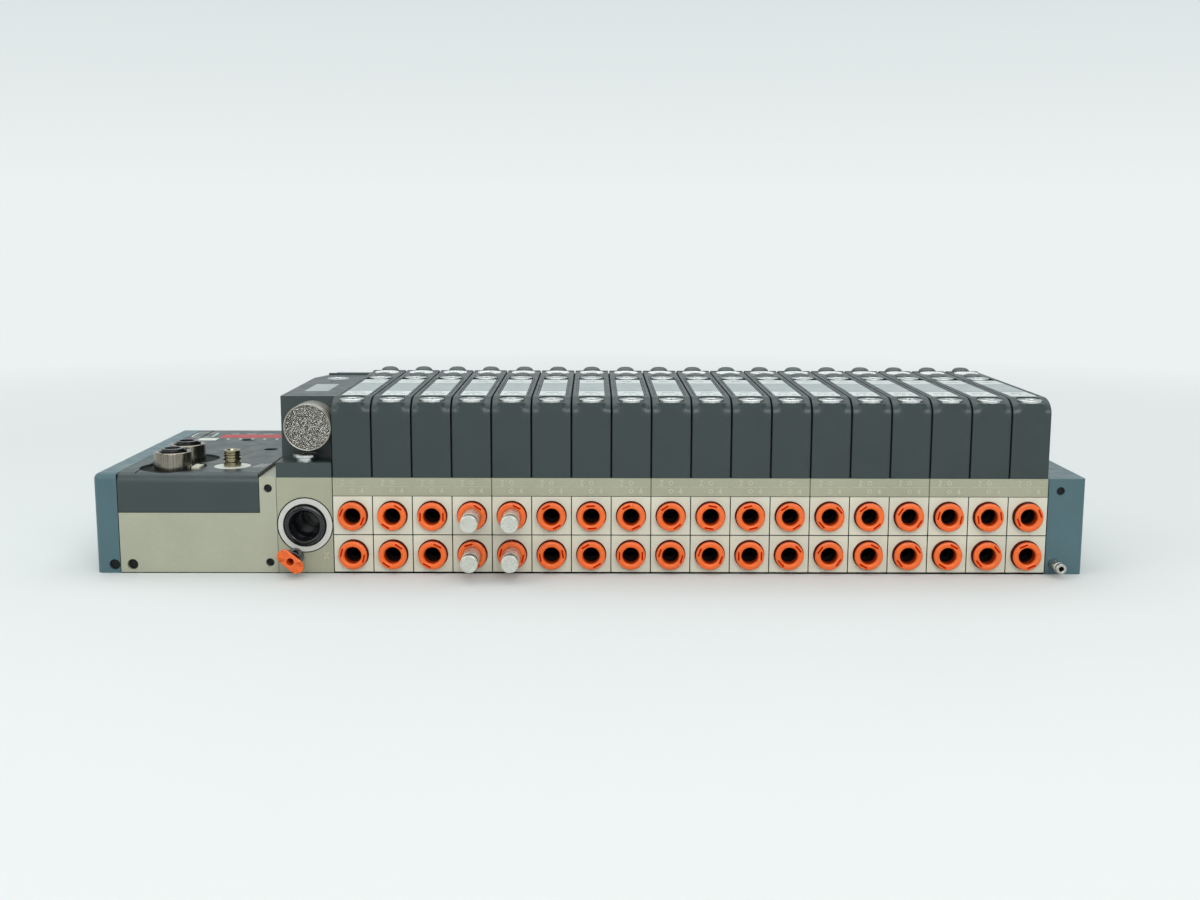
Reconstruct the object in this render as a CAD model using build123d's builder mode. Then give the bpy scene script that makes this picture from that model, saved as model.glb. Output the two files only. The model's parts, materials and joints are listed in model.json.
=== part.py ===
from build123d import *
import os

# Pneumatic valve island: an electronics head, a supply and exhaust module and a row of valve
# stations on manifold blocks, closed by an end plate at each end.
# Millimetres. X runs along the row, Y from the port face to the back, Z up.
# The origin is the centre of the underside.

# ---- Driving dimensions: the row -------------------------------------------------------------
station_pitch = 18.0
stations_per_block = (4, 4, 4, 3, 3)
left_plate_width = 11.0
head_width = 71.8
supply_width = 25.2
right_plate_width = 17.0
body_depth = 136.0
seam = 0.2  # gap between neighbouring modules
base_clearance = 0.2  # the port inserts hang this far above the mounting surface

# ---- Driving dimensions: manifold and ports --------------------------------------------------
manifold_height = 44.2
marking_strip_height = 8.3
insert_gap = 0.45
strip_gap = 0.25  # between the upper port inserts and the marking strip
insert_depth = 20.0
port_bore_radius = 4.1  # for 8 mm tube
collet_flange_radius = 6.9
collet_flange_thickness = 1.3
collet_proud = 3.5
collet_length = 11.0
collet_neck_radius = 5.2
collet_tip_wall = 0.6
collet_clearance = 0.15
collet_socket_depth = 15.0
plug_clearance = 0.1
plug_proud = 20.0
plug_seat_depth = 7.0
plug_head_length = 2.4
plug_groove_depth = 0.6
plug_groove_length = 2.2
plugged_stations = (4, 5)

# ---- Driving dimensions: valves --------------------------------------------------------------
valve_height = 36.1
valve_depth = 133.0
valve_gap = 0.4
shoulder_height = 11.5  # where the sloping shoulders beside the front screw begin, below the top
shoulder_setback = 5.0  # how far they have gone back under the top rounding
shoulder_rounding = 4.0
shoulder_drop = 3.6  # the top rounding's height
rear_edge_radius = 3.0
rear_fall = 1.6  # the top behind the lip falls this far to the back
rear_lip_inset = 11.0  # the lip's front, from the valve's back face
rear_lip_depth = 1.6
rear_lip_height = 0.3
screw_boss_flat = 8.0
screw_boss_height = 14.0
screw_boss_drop = 3.0  # the boss's top, below the valve's
screw_head_radius = 5.65
screw_head_thickness = 0.8
screw_collar_radius = 4.1
screw_collar_height = 0.9
screw_setback = 5.7
screw_clearance = 0.15
rear_screw_inset = 41.5  # insets are measured from the back face of the valve
label_start = 12.6  # from the port face
label_end_inset = 53.0
label_width = 12.0
label_thickness = 0.8
label_clearance = 0.25
rear_seat_inset = 35.0
override_insets = (31.0, 8.0)
override_radius = 4.65
override_tip_radius = 2.5
override_rise = 2.0
override_skirt = 4.0
override_travel = 1.5
override_clearance = 0.25
override_bottom_gap = 0.4
lens_inset = 19.5
lens_radius = 6.25
lens_rise = 0.6
lens_pocket_depth = 0.6
status_hole_radius = 1.0
status_hole_depth = 1.5
status_hole_place = (-6.0, 32.6)  # from the valve's middle, and from its back face

# ---- Driving dimensions: supply and exhaust module --------------------------------------------
supply_port_height = 22.4
supply_sleeve_radius = 12.3
supply_sleeve_proud = 0.6
supply_sleeve_depth = 20.0
supply_collet_radius = 9.15
supply_collet_proud = 2.6
supply_collet_length = 17.0
supply_collet_chamfer = 1.0
supply_bore_radius = 6.15  # for 12 mm tube
supply_socket_depth = 34.0
supply_release_travel = 1.0
running_clearance = 0.3
seat_clearance = 0.05  # round a piece that is pressed into its seat
pilot_offset = -4.8  # from the supply port's axis
pilot_height = 8.1
pilot_body_radius = 4.0
pilot_body_length = 8.5
pilot_neck_radius = 2.5
pilot_neck_depth = 9.0
pilot_bore_radius = 1.6
pilot_button_length = 13.5
pilot_button_width = 6.4
pilot_button_thickness = 1.8
pilot_button_tilt = -40.0
pilot_sleeve_radius = 2.4
pilot_sleeve_length = 6.0
pilot_release_travel = 0.8
exhaust_step_height = 6.9
exhaust_setback = 14.0
exhaust_height = 35.4
exhaust_lip_inset = 24.5  # the lip's front, from the back face
exhaust_lip_height = 0.8
exhaust_lip_depth = 1.8
exhaust_rear_drop = 1.2
exhaust_corner_width = 4.5  # bevel on the upper block's rear left corner, seen from above
exhaust_corner_length = 14.0
exhaust_corner_inset = 40.0  # where that bevel begins, from the back face
exhaust_vent_radius = 1.1
exhaust_vent_inset = 59.0
exhaust_vent_depth = 4.0
muffler_radius = 10.3
muffler_height = 22.8  # axis above the manifold top
muffler_offset = 2.0  # axis right of the module's middle
muffler_spigot_radius = 8.0
muffler_seat_depth = 6.0
muffler_rim = 0.9
muffler_recess = 0.6
exhaust_label_insets = (99.4, 69.0)
exhaust_label_width = 11.3

# ---- Driving dimensions: electronics head ----------------------------------------------------
head_column_width = 7.8
cover_height = 17.8
cover_rise = 1.8  # above the manifold
cover_edge_radius = 4.5
cover_wall = 2.4
housing_wall = 3.0
housing_floor = 8.0
board_thickness = 1.6
board_drop = 4.0  # underside of the board, below the housing's rim
board_clearance = 1.0
board_post_radius = 3.0
board_post_inset = 6.0
m12_position_x = 20.4  # from the head's left face
m12_positions_y = (17.7, 40.7)
m12_recess_radius = 15.0
m12_recess_depth = 1.0
m12_shell_radius = 8.45
m12_shell_wall = 2.3
m12_shell_rise = 6.5
m12_insert_radius = 5.0
m12_insert_rise = 3.0
m12_pin_radius = 0.7
m12_pin_circle = 2.8
m12_pin_count = 5
m12_pin_depth = 4.0
m8_position_x = 47.1
m8_position_y = 20.4
m8_thread_radius = 4.0
m8_neck_radius = 3.4
m8_neck_length = 2.4
m8_wall = 0.9
m8_rise = 8.3
m8_insert_drop = 2.5
connector_clearance = 0.15
cover_screw_positions = ((34.2, 101.6), (53.5, 70.4))
cover_screw_radius = 3.3
cover_screw_drop = 1.2
cover_groove_offset = 7.5
cover_groove_width = 0.5

# ---- Driving dimensions: end plates and housing screws ----------------------------------------
left_plate_radius = 3.0
right_plate_radius = 2.0
screw_hole_depth = 14.0
screw_hole_drop = 1.6
screw_hole_clearance = 0.1
large_screw_radius = 2.45
small_screw_radius = 1.9
left_plate_screw = (8.2, 3.9)  # from the plate's left face, and height
head_screw = (5.4, 4.0)  # from the head's left face, and height
column_screw_insets = 5.0  # from the column's foot and from its top
right_plate_screw = (5.6, 5.6)  # from the plate's left face, and below its top
bleed_position = (4.1, 5.0)
bleed_radius = 2.35
bleed_bore_radius = 1.1
bleed_proud = 11.0
bleed_seat_depth = 8.0
mounting_hole_radius = 2.5
mounting_hole_depth = 14.0
mounting_hole_spacing = 100.0

# ---- Derived places ----------------------------------------------------------------------------
station_count = sum(stations_per_block)
row_length = station_count * station_pitch
total_length = left_plate_width + head_width + supply_width + row_length + right_plate_width
x_left = -total_length / 2
x_head = x_left + left_plate_width
x_supply = x_head + head_width
x_row = x_supply + supply_width
x_right_plate = x_row + row_length
x_right = x_right_plate + right_plate_width
x_supply_centre = x_supply + supply_width / 2
x_column = x_supply - head_column_width
y_front = -body_depth / 2
y_back = body_depth / 2
y_valve_back = y_front + valve_depth
valve_top = manifold_height + valve_height
boss_top = valve_top - screw_boss_drop
screw_stack = screw_collar_height + screw_head_thickness
station_centres = [x_row + (i + 0.5) * station_pitch for i in range(station_count)]
strip_bottom = manifold_height - marking_strip_height
insert_width = station_pitch - insert_gap
insert_height = (strip_bottom - strip_gap - insert_gap - base_clearance) / 2
insert_pitch = insert_height + insert_gap
port_heights = [base_clearance + insert_height / 2 + row * insert_pitch for row in (0, 1)]
ports = [(x, y_front, z) for z in port_heights for x in station_centres]
plug_radius = port_bore_radius - plug_clearance
plugged_ports = [(station_centres[n - 1], y_front, z) for n in plugged_stations for z in port_heights]
exhaust_top = manifold_height + exhaust_height
exhaust_step_top = manifold_height + exhaust_step_height
muffler_axis = (x_supply_centre + muffler_offset, manifold_height + muffler_height)
cover_top = manifold_height + cover_rise
cover_bottom = cover_top - cover_height
housing_top = cover_bottom - seam
board_height = housing_top - board_drop
board_top = board_height + board_thickness
x_m12 = x_head + m12_position_x
x_m8 = x_head + m8_position_x
m12_places = [(x_m12, y_front + y) for y in m12_positions_y]
m8_place = (x_m8, y_front + m8_position_y)
cover_screw_places = [(x_head + x, y_front + y) for x, y in cover_screw_positions]
housing_screws_large = [
    (x_left + left_plate_screw[0], left_plate_screw[1]),
    (x_head + head_screw[0], head_screw[1]),
]
housing_screws_small = [
    (x_column + head_column_width / 2, column_screw_insets),
    (x_column + head_column_width / 2, manifold_height - column_screw_insets),
    (x_right_plate + right_plate_screw[0], manifold_height - right_plate_screw[1]),
]
mounting_columns = (x_left + left_plate_width / 2, x_right - right_plate_width / 2)
mounting_holes = [(x, side * mounting_hole_spacing / 2) for x in mounting_columns for side in (-1, 1)]

os.makedirs("parts", exist_ok=True)


# ---- Shared operations, each working in the part being built -----------------------------------
def block(low, high, mode=Mode.ADD):
    """A box between two opposite corners."""
    middle = [(a + b) / 2 for a, b in zip(low, high)]
    with Locations(tuple(middle)):
        Box(*[b - a for a, b in zip(low, high)], mode=mode)


def upright(places, radius, bottom, top, mode=Mode.ADD):
    """Vertical cylinders from one height to another, at each (x, y)."""
    with Locations(*[(x, y, bottom) for x, y in places]):
        Cylinder(radius, top - bottom, align=(Align.CENTER, Align.CENTER, Align.MIN), mode=mode)


def along_y(places, radius, front, back, mode=Mode.ADD):
    """Cylinders along Y from one depth to another, at each (x, z)."""
    for x, z in places:
        with BuildSketch(Plane.XZ.offset(-front)) as disc:
            with Locations((x, z)):
                Circle(radius)
        extrude(disc.sketch, amount=front - back, mode=mode)


def turned_along_y(points):
    """A body of revolution about the Y axis from (radius, y) points."""
    with BuildSketch(Plane.XY) as half:
        with BuildLine():
            Polyline(*points, close=True)
        make_face()
    revolve(half.sketch, axis=Axis.Y)


def side_profile(points, x_from, x_to):
    """A (y, z) outline extruded from one x to another."""
    with BuildSketch(Plane.YZ.offset(x_from)) as side:
        with BuildLine():
            Polyline(*points, close=True)
        make_face()
    extrude(side.sketch, amount=x_to - x_from)


# ---- End plates --------------------------------------------------------------------------------
with BuildPart() as left_end_plate:
    block((x_left, y_front, 0), (x_head - seam, y_back, cover_top))
    fillet(left_end_plate.edges().filter_by(Axis.Y).group_by(Axis.X)[0].sort_by(Axis.Z)[-1:], left_plate_radius)
    fillet(left_end_plate.edges().group_by(Axis.Y)[0].sort_by(Axis.Z)[-1:], left_plate_radius)
    along_y(
        housing_screws_large[:1],
        large_screw_radius,
        y_front,
        y_front + screw_hole_depth,
        Mode.SUBTRACT,
    )
    upright(mounting_holes[:2], mounting_hole_radius, 0, mounting_hole_depth, Mode.SUBTRACT)
left_end_plate.part.label = "left_end_plate"
export_step(left_end_plate.part, "parts/left_end_plate.step")

with BuildPart() as right_end_plate:
    block((x_right_plate + seam, y_front, 0), (x_right, y_back, manifold_height))
    fillet(right_end_plate.edges().filter_by(Axis.Z).group_by(Axis.X)[-1], right_plate_radius)
    along_y(
        housing_screws_small[-1:],
        small_screw_radius,
        y_front,
        y_front + screw_hole_depth,
        Mode.SUBTRACT,
    )
    along_y(
        [(x_right_plate + bleed_position[0], bleed_position[1])],
        bleed_radius + seat_clearance,
        y_front,
        y_front + bleed_seat_depth,
        Mode.SUBTRACT,
    )
    upright(mounting_holes[2:], mounting_hole_radius, 0, mounting_hole_depth, Mode.SUBTRACT)
right_end_plate.part.label = "right_end_plate"
export_step(right_end_plate.part, "parts/right_end_plate.step")

# ---- Electronics head --------------------------------------------------------------------------
with BuildPart() as electronics_housing:
    block((x_head, y_front, 0), (x_supply - seam, y_back, housing_top))
    block((x_column, y_front, 0), (x_supply - seam, y_back, manifold_height))
    block(
        (x_head + housing_wall, y_front + housing_wall, housing_floor),
        (x_column - housing_wall, y_back - housing_wall, housing_top),
        Mode.SUBTRACT,
    )
    board_x = (x_head + housing_wall + board_post_inset, x_column - housing_wall - board_post_inset)
    board_y = (y_front + housing_wall + board_post_inset, y_back - housing_wall - board_post_inset)
    upright([(x, y) for x in board_x for y in board_y], board_post_radius, housing_floor, board_height)
    along_y(
        housing_screws_large[1:],
        large_screw_radius,
        y_front,
        y_front + screw_hole_depth,
        Mode.SUBTRACT,
    )
    along_y(
        housing_screws_small[:-1],
        small_screw_radius,
        y_front,
        y_front + screw_hole_depth,
        Mode.SUBTRACT,
    )
electronics_housing.part.label = "electronics_housing"
export_step(electronics_housing.part, "parts/electronics_housing.step")

with BuildPart() as electronics_cover:
    block((x_head, y_front, cover_bottom), (x_column - seam, y_back, cover_top))
    fillet(electronics_cover.edges().group_by(Axis.Y)[0].sort_by(Axis.Z)[-1:], cover_edge_radius)
    block(
        (x_head + cover_wall, y_front + cover_wall + cover_edge_radius / 3, cover_bottom),
        (x_column - seam - cover_wall, y_back - cover_wall, cover_top - cover_wall - m12_recess_depth),
        Mode.SUBTRACT,
    )
    upright(m12_places, m12_recess_radius, cover_top - m12_recess_depth, cover_top, Mode.SUBTRACT)
    upright(m12_places, m12_shell_radius + connector_clearance, cover_bottom, cover_top, Mode.SUBTRACT)
    upright([m8_place], m8_thread_radius + connector_clearance, cover_bottom, cover_top, Mode.SUBTRACT)
    upright(
        cover_screw_places,
        cover_screw_radius + screw_hole_clearance,
        cover_bottom,
        cover_top,
        Mode.SUBTRACT,
    )
    block(
        (x_head + cover_groove_offset, y_front, cover_top - cover_groove_width),
        (x_head + cover_groove_offset + cover_groove_width, y_back, cover_top),
        Mode.SUBTRACT,
    )
electronics_cover.part.label = "electronics_cover"
export_step(electronics_cover.part, "parts/electronics_cover.step")

with BuildPart() as circuit_board:
    block(
        (x_head + housing_wall + board_clearance, y_front + housing_wall + board_clearance, board_height),
        (x_column - housing_wall - board_clearance, y_back - housing_wall - board_clearance, board_top),
    )
circuit_board.part.label = "circuit_board"
export_step(circuit_board.part, "parts/circuit_board.step")

# Two internally threaded M12 shells and the M8 connector's threaded neck, standing on the board.
with BuildPart() as connector_shells:
    shell_bore = m12_shell_radius - m12_shell_wall
    upright(m12_places, m12_shell_radius, board_top, cover_top + m12_shell_rise)
    upright(m12_places, shell_bore, board_top, cover_top + m12_shell_rise, Mode.SUBTRACT)
    upright([m8_place], m8_thread_radius, board_top, cover_top)
    upright([m8_place], m8_neck_radius, cover_top, cover_top + m8_neck_length)
    upright([m8_place], m8_thread_radius, cover_top + m8_neck_length, cover_top + m8_rise)
    upright([m8_place], m8_neck_radius - m8_wall, board_top, cover_top + m8_rise, Mode.SUBTRACT)
connector_shells.part.label = "connector_shells"
export_step(connector_shells.part, "parts/connector_shells.step")

with BuildPart() as connector_inserts:
    m12_insert_top = cover_top + m12_shell_rise + m12_insert_rise
    upright(m12_places, m12_insert_radius, board_top, m12_insert_top)
    with Locations(*[(x, y, m12_insert_top) for x, y in m12_places]):
        with PolarLocations(m12_pin_circle, m12_pin_count - 1, start_angle=45):
            Cylinder(
                m12_pin_radius,
                m12_pin_depth,
                align=(Align.CENTER, Align.CENTER, Align.MAX),
                mode=Mode.SUBTRACT,
            )
    upright(
        [m8_place],
        m8_neck_radius - m8_wall - connector_clearance,
        board_top,
        cover_top + m8_rise - m8_insert_drop,
    )
connector_inserts.part.label = "connector_inserts"
export_step(connector_inserts.part, "parts/connector_inserts.step")

# ---- Supply module -----------------------------------------------------------------------------
supply_axis = [(x_supply_centre, supply_port_height)]
pilot_axis = [(x_supply_centre + pilot_offset, pilot_height)]

with BuildPart() as supply_block:
    block((x_supply, y_front, 0), (x_row - seam, y_back, manifold_height))
    along_y(
        supply_axis,
        supply_sleeve_radius + seat_clearance,
        y_front,
        y_front + supply_sleeve_depth,
        Mode.SUBTRACT,
    )
    along_y(
        supply_axis,
        supply_bore_radius,
        y_front + supply_sleeve_depth,
        y_front + supply_socket_depth,
        Mode.SUBTRACT,
    )
    along_y(
        pilot_axis,
        pilot_neck_radius + seat_clearance,
        y_front,
        y_front + pilot_neck_depth,
        Mode.SUBTRACT,
    )
supply_block.part.label = "supply_block"
export_step(supply_block.part, "parts/supply_block.step")

with BuildPart() as supply_sleeve:
    along_y(
        supply_axis,
        supply_sleeve_radius,
        y_front - supply_sleeve_proud,
        y_front + supply_sleeve_depth,
    )
    along_y(
        supply_axis,
        supply_collet_radius + running_clearance,
        y_front - supply_sleeve_proud,
        y_front + supply_sleeve_depth,
        Mode.SUBTRACT,
    )
supply_sleeve.part.label = "supply_sleeve"
export_step(supply_sleeve.part, "parts/supply_sleeve.step")

with BuildPart() as supply_collet:
    along_y(
        supply_axis,
        supply_collet_radius,
        y_front - supply_collet_proud,
        y_front - supply_collet_proud + supply_collet_length,
    )
    chamfer(supply_collet.edges().group_by(Axis.Y)[0], supply_collet_chamfer)
    along_y(
        supply_axis,
        supply_bore_radius,
        y_front - supply_collet_proud,
        y_front - supply_collet_proud + supply_collet_length,
        Mode.SUBTRACT,
    )
supply_collet.part.label = "supply_collet"
export_step(supply_collet.part, "parts/supply_collet.step")

pilot_body_back = y_front - supply_sleeve_proud - running_clearance
pilot_body_front = pilot_body_back - pilot_body_length

with BuildPart() as pilot_fitting:
    along_y(pilot_axis, pilot_body_radius, pilot_body_front, pilot_body_back)
    along_y(pilot_axis, pilot_neck_radius, pilot_body_back, y_front + pilot_neck_depth)
    along_y(
        pilot_axis,
        pilot_sleeve_radius + running_clearance,
        pilot_body_front,
        pilot_body_front + pilot_sleeve_length + pilot_release_travel + running_clearance,
        Mode.SUBTRACT,
    )
    along_y(pilot_axis, pilot_bore_radius, pilot_body_front, y_front + pilot_neck_depth, Mode.SUBTRACT)
pilot_fitting.part.label = "pilot_fitting"
export_step(pilot_fitting.part, "parts/pilot_fitting.step")

pilot_button_back = pilot_body_front - pilot_release_travel - running_clearance
pilot_button_front = pilot_button_back - pilot_button_thickness

with BuildPart() as pilot_release_button:
    with BuildSketch(Plane.XZ.offset(-pilot_button_front)):
        with Locations(pilot_axis[0]):
            SlotOverall(pilot_button_length, pilot_button_width, rotation=pilot_button_tilt)
    extrude(amount=-pilot_button_thickness)
    along_y(pilot_axis, pilot_sleeve_radius, pilot_button_back, pilot_body_front + pilot_sleeve_length)
    along_y(
        pilot_axis,
        pilot_bore_radius,
        pilot_button_front,
        pilot_body_front + pilot_sleeve_length,
        Mode.SUBTRACT,
    )
pilot_release_button.part.label = "pilot_release_button"
export_step(pilot_release_button.part, "parts/pilot_release_button.step")

# ---- Exhaust module on top of the supply block -------------------------------------------------
y_exhaust_face = y_front + exhaust_setback
y_exhaust_lip = y_valve_back - exhaust_lip_inset
y_exhaust_corner = y_valve_back - exhaust_corner_inset
y_rear_screws = y_valve_back - rear_screw_inset
front_screw_place = (x_supply_centre, y_front + screw_setback)
rear_screw_place = (x_supply_centre, y_rear_screws)

with BuildPart() as exhaust_block:
    side_profile(
        [
            (y_front, manifold_height),
            (y_front, exhaust_step_top),
            (y_exhaust_face, exhaust_step_top),
            (y_exhaust_face, exhaust_top),
            (y_exhaust_lip, exhaust_top),
            (y_exhaust_lip, exhaust_top + exhaust_lip_height),
            (y_exhaust_lip + exhaust_lip_depth, exhaust_top + exhaust_lip_height),
            (y_exhaust_lip + exhaust_lip_depth, exhaust_top - exhaust_rear_drop),
            (y_valve_back, exhaust_top - exhaust_rear_drop),
            (y_valve_back, manifold_height),
        ],
        x_supply,
        x_row - seam,
    )
    with BuildSketch(Plane.XY.offset(exhaust_step_top)) as rear_corner:
        with BuildLine():
            Polyline(
                (x_supply, y_exhaust_corner),
                (x_supply + exhaust_corner_width, y_exhaust_corner + exhaust_corner_length),
                (x_supply + exhaust_corner_width, y_valve_back),
                (x_supply, y_valve_back),
                close=True,
            )
        make_face()
    extrude(amount=exhaust_height, mode=Mode.SUBTRACT)
    along_y(
        [muffler_axis],
        muffler_spigot_radius + seat_clearance,
        y_exhaust_face,
        y_exhaust_face + muffler_seat_depth,
        Mode.SUBTRACT,
    )
    upright(
        [rear_screw_place],
        screw_head_radius + screw_clearance,
        exhaust_top - screw_stack,
        exhaust_top,
        Mode.SUBTRACT,
    )
    upright(
        [(x_supply_centre, y_valve_back - exhaust_vent_inset)],
        exhaust_vent_radius,
        exhaust_top - exhaust_vent_depth,
        exhaust_top,
        Mode.SUBTRACT,
    )
    block(
        (
            x_supply_centre - exhaust_label_width / 2,
            y_valve_back - exhaust_label_insets[0],
            exhaust_top - label_thickness / 2,
        ),
        (
            x_supply_centre + exhaust_label_width / 2,
            y_valve_back - exhaust_label_insets[1],
            exhaust_top,
        ),
        Mode.SUBTRACT,
    )
exhaust_block.part.label = "exhaust_block"
export_step(exhaust_block.part, "parts/exhaust_block.step")

with BuildPart() as exhaust_muffler:
    along_y([muffler_axis], muffler_radius, y_front, y_exhaust_face)
    along_y([muffler_axis], muffler_spigot_radius, y_exhaust_face, y_exhaust_face + muffler_seat_depth)
    along_y([muffler_axis], muffler_radius - muffler_rim, y_front, y_front + muffler_recess, Mode.SUBTRACT)
exhaust_muffler.part.label = "exhaust_muffler"
export_step(exhaust_muffler.part, "parts/exhaust_muffler.step")

# ---- Manifold blocks, each under three or four stations -----------------------------------------
insert_back = y_front + insert_depth

with BuildPart() as manifold_blocks:
    block_start = x_row
    for stations in stations_per_block:
        block_end = block_start + stations * station_pitch
        side_profile(
            [
                (y_front, strip_bottom),
                (y_front, manifold_height),
                (y_back, manifold_height),
                (y_back, 0),
                (insert_back, 0),
                (insert_back, strip_bottom),
            ],
            block_start + seam / 2,
            block_end - seam / 2,
        )
        block_start = block_end
manifold_blocks.part.label = "manifold_blocks"
export_step(manifold_blocks.part, "parts/manifold_blocks.step")

# ---- Port inserts with their push-in collets and plugs ------------------------------------------
with BuildPart() as port_insert:
    block(
        (-insert_width / 2, 0, -insert_height / 2),
        (insert_width / 2, insert_depth, insert_height / 2),
    )
    along_y([(0, 0)], collet_neck_radius + collet_clearance, 0, collet_socket_depth, Mode.SUBTRACT)

with BuildPart() as port_inserts:
    with Locations(*ports):
        add(port_insert.part)
port_inserts.part.label = "port_inserts"
export_step(port_inserts.part, "parts/port_inserts.step")

with BuildPart() as port_collet:
    turned_along_y(
        [
            (port_bore_radius, -collet_proud),
            (collet_flange_radius, -collet_proud),
            (collet_flange_radius, collet_flange_thickness - collet_proud),
            (collet_neck_radius, 0),
            (port_bore_radius + collet_tip_wall, collet_length - collet_proud),
            (port_bore_radius, collet_length - collet_proud),
        ]
    )

with BuildPart() as port_collets:
    with Locations(*ports):
        add(port_collet.part)
port_collets.part.label = "port_collets"
export_step(port_collets.part, "parts/port_collets.step")

with BuildPart() as port_plug:
    groove_start = plug_head_length - plug_proud
    turned_along_y(
        [
            (0, -plug_proud),
            (plug_radius, -plug_proud),
            (plug_radius, groove_start),
            (plug_radius - plug_groove_depth, groove_start),
            (plug_radius - plug_groove_depth, groove_start + plug_groove_length),
            (plug_radius, groove_start + plug_groove_length),
            (plug_radius, plug_seat_depth),
            (0, plug_seat_depth),
        ]
    )

with BuildPart() as port_plugs:
    with Locations(*plugged_ports):
        add(port_plug.part)
port_plugs.part.label = "port_plugs"
export_step(port_plugs.part, "parts/port_plugs.step")

# ---- Valves --------------------------------------------------------------------------------------
valve_width = station_pitch - valve_gap
valve_spots = [(x, y_front, 0) for x in station_centres]
override_bottom = valve_top - override_skirt
override_hole_bottom = override_bottom - override_travel - override_bottom_gap
label_recess_bottom = valve_top - label_thickness
lens_bottom = valve_top - lens_pocket_depth

with BuildPart() as valve_body:
    lip_front = valve_depth - rear_lip_inset
    shoulder_top_y = shoulder_setback + shoulder_rounding
    with BuildSketch(Plane.YZ.offset(-valve_width / 2)) as valve_side:
        with BuildLine():
            Polyline(
                (0, manifold_height),
                (0, valve_top - shoulder_height),
                (shoulder_setback, valve_top - shoulder_drop),
                (shoulder_top_y, valve_top),
                (lip_front, valve_top),
                (lip_front, valve_top + rear_lip_height),
                (lip_front + rear_lip_depth, valve_top + rear_lip_height),
                (lip_front + rear_lip_depth, valve_top),
                (valve_depth, valve_top - rear_fall),
                (valve_depth, manifold_height),
                close=True,
            )
        make_face()
        fillet(valve_side.vertices().sort_by(Axis.X)[:4].sort_by(Axis.Y)[-2:], shoulder_rounding / 2)
        fillet(valve_side.vertices().group_by(Axis.X)[-1].sort_by(Axis.Y)[-1], rear_edge_radius)
    extrude(amount=valve_width)
    # The upright boss that carries the front screw between the two sloping shoulders
    upright([(0, screw_setback)], screw_head_radius, boss_top - screw_boss_height, boss_top)
    block(
        (-screw_boss_flat / 2, 0, boss_top - screw_boss_height),
        (screw_boss_flat / 2, screw_setback, boss_top),
    )
    upright(
        [(0, screw_setback)],
        screw_head_radius + screw_clearance,
        boss_top,
        valve_top,
        Mode.SUBTRACT,
    )
    # One channel holds the label plate and the rear screw's head
    block(
        (-label_width / 2 - label_clearance, label_start - label_clearance, label_recess_bottom),
        (label_width / 2 + label_clearance, valve_depth - rear_seat_inset, valve_top),
        Mode.SUBTRACT,
    )
    for inset in override_insets:
        upright(
            [(0, valve_depth - inset)],
            override_radius + override_clearance,
            override_hole_bottom,
            valve_top + rear_lip_height,
            Mode.SUBTRACT,
        )
    upright(
        [(0, valve_depth - lens_inset)],
        lens_radius + seat_clearance,
        lens_bottom,
        valve_top,
        Mode.SUBTRACT,
    )
    upright(
        [(status_hole_place[0], valve_depth - status_hole_place[1])],
        status_hole_radius,
        valve_top - status_hole_depth,
        valve_top,
        Mode.SUBTRACT,
    )

with BuildPart() as valve_bodies:
    with Locations(*valve_spots):
        add(valve_body.part)
valve_bodies.part.label = "valve_bodies"
export_step(valve_bodies.part, "parts/valve_bodies.step")

with BuildPart() as valve_labels:
    for x in station_centres:
        block(
            (x - label_width / 2, y_front + label_start, label_recess_bottom),
            (x + label_width / 2, y_valve_back - label_end_inset, valve_top),
        )
valve_labels.part.label = "valve_labels"
export_step(valve_labels.part, "parts/valve_labels.step")

# Every module screw has a wide flat head on a narrower collar.
screw_seats = [
    ([(x, y_front + screw_setback) for x in station_centres], boss_top),
    ([front_screw_place], exhaust_step_top),
    ([rear_screw_place], exhaust_top - screw_stack),
]
with BuildPart() as module_screws:
    for places, seat in screw_seats:
        upright(places, screw_collar_radius, seat, seat + screw_collar_height)
        upright(places, screw_head_radius, seat + screw_collar_height, seat + screw_stack)
    upright(
        [(x, y_rear_screws) for x in station_centres],
        screw_head_radius,
        label_recess_bottom,
        valve_top,
    )
module_screws.part.label = "module_screws"
export_step(module_screws.part, "parts/module_screws.step")

with BuildPart() as indicator_lenses:
    lens_places = [(x, y_valve_back - lens_inset) for x in station_centres]
    upright(lens_places, lens_radius, lens_bottom, valve_top + lens_rise)
indicator_lenses.part.label = "indicator_lenses"
export_step(indicator_lenses.part, "parts/indicator_lenses.step")

# Each valve has a front and a rear manual override, and every one of them can be pressed alone.
for row, inset in zip(("front", "rear"), override_insets):
    for number, x in enumerate(station_centres, start=1):
        with BuildPart() as override:
            upright([(x, y_valve_back - inset)], override_radius, override_bottom, valve_top)
            with Locations((x, y_valve_back - inset, valve_top)):
                Cone(
                    override_radius,
                    override_tip_radius,
                    override_rise,
                    align=(Align.CENTER, Align.CENTER, Align.MIN),
                )
        override.part.label = f"override_{row}_{number:02d}"
        export_step(override.part, f"parts/override_{row}_{number:02d}.step")

# ---- Screws sunk in the housings, and the bleed fitting -----------------------------------------
with BuildPart() as housing_screws:
    screw_front = y_front + screw_hole_drop
    screw_back = y_front + screw_hole_depth
    along_y(housing_screws_large, large_screw_radius - screw_hole_clearance, screw_front, screw_back)
    along_y(housing_screws_small, small_screw_radius - screw_hole_clearance, screw_front, screw_back)
    upright(cover_screw_places, cover_screw_radius, board_top, cover_top - cover_screw_drop)
housing_screws.part.label = "housing_screws"
export_step(housing_screws.part, "parts/housing_screws.step")

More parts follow.
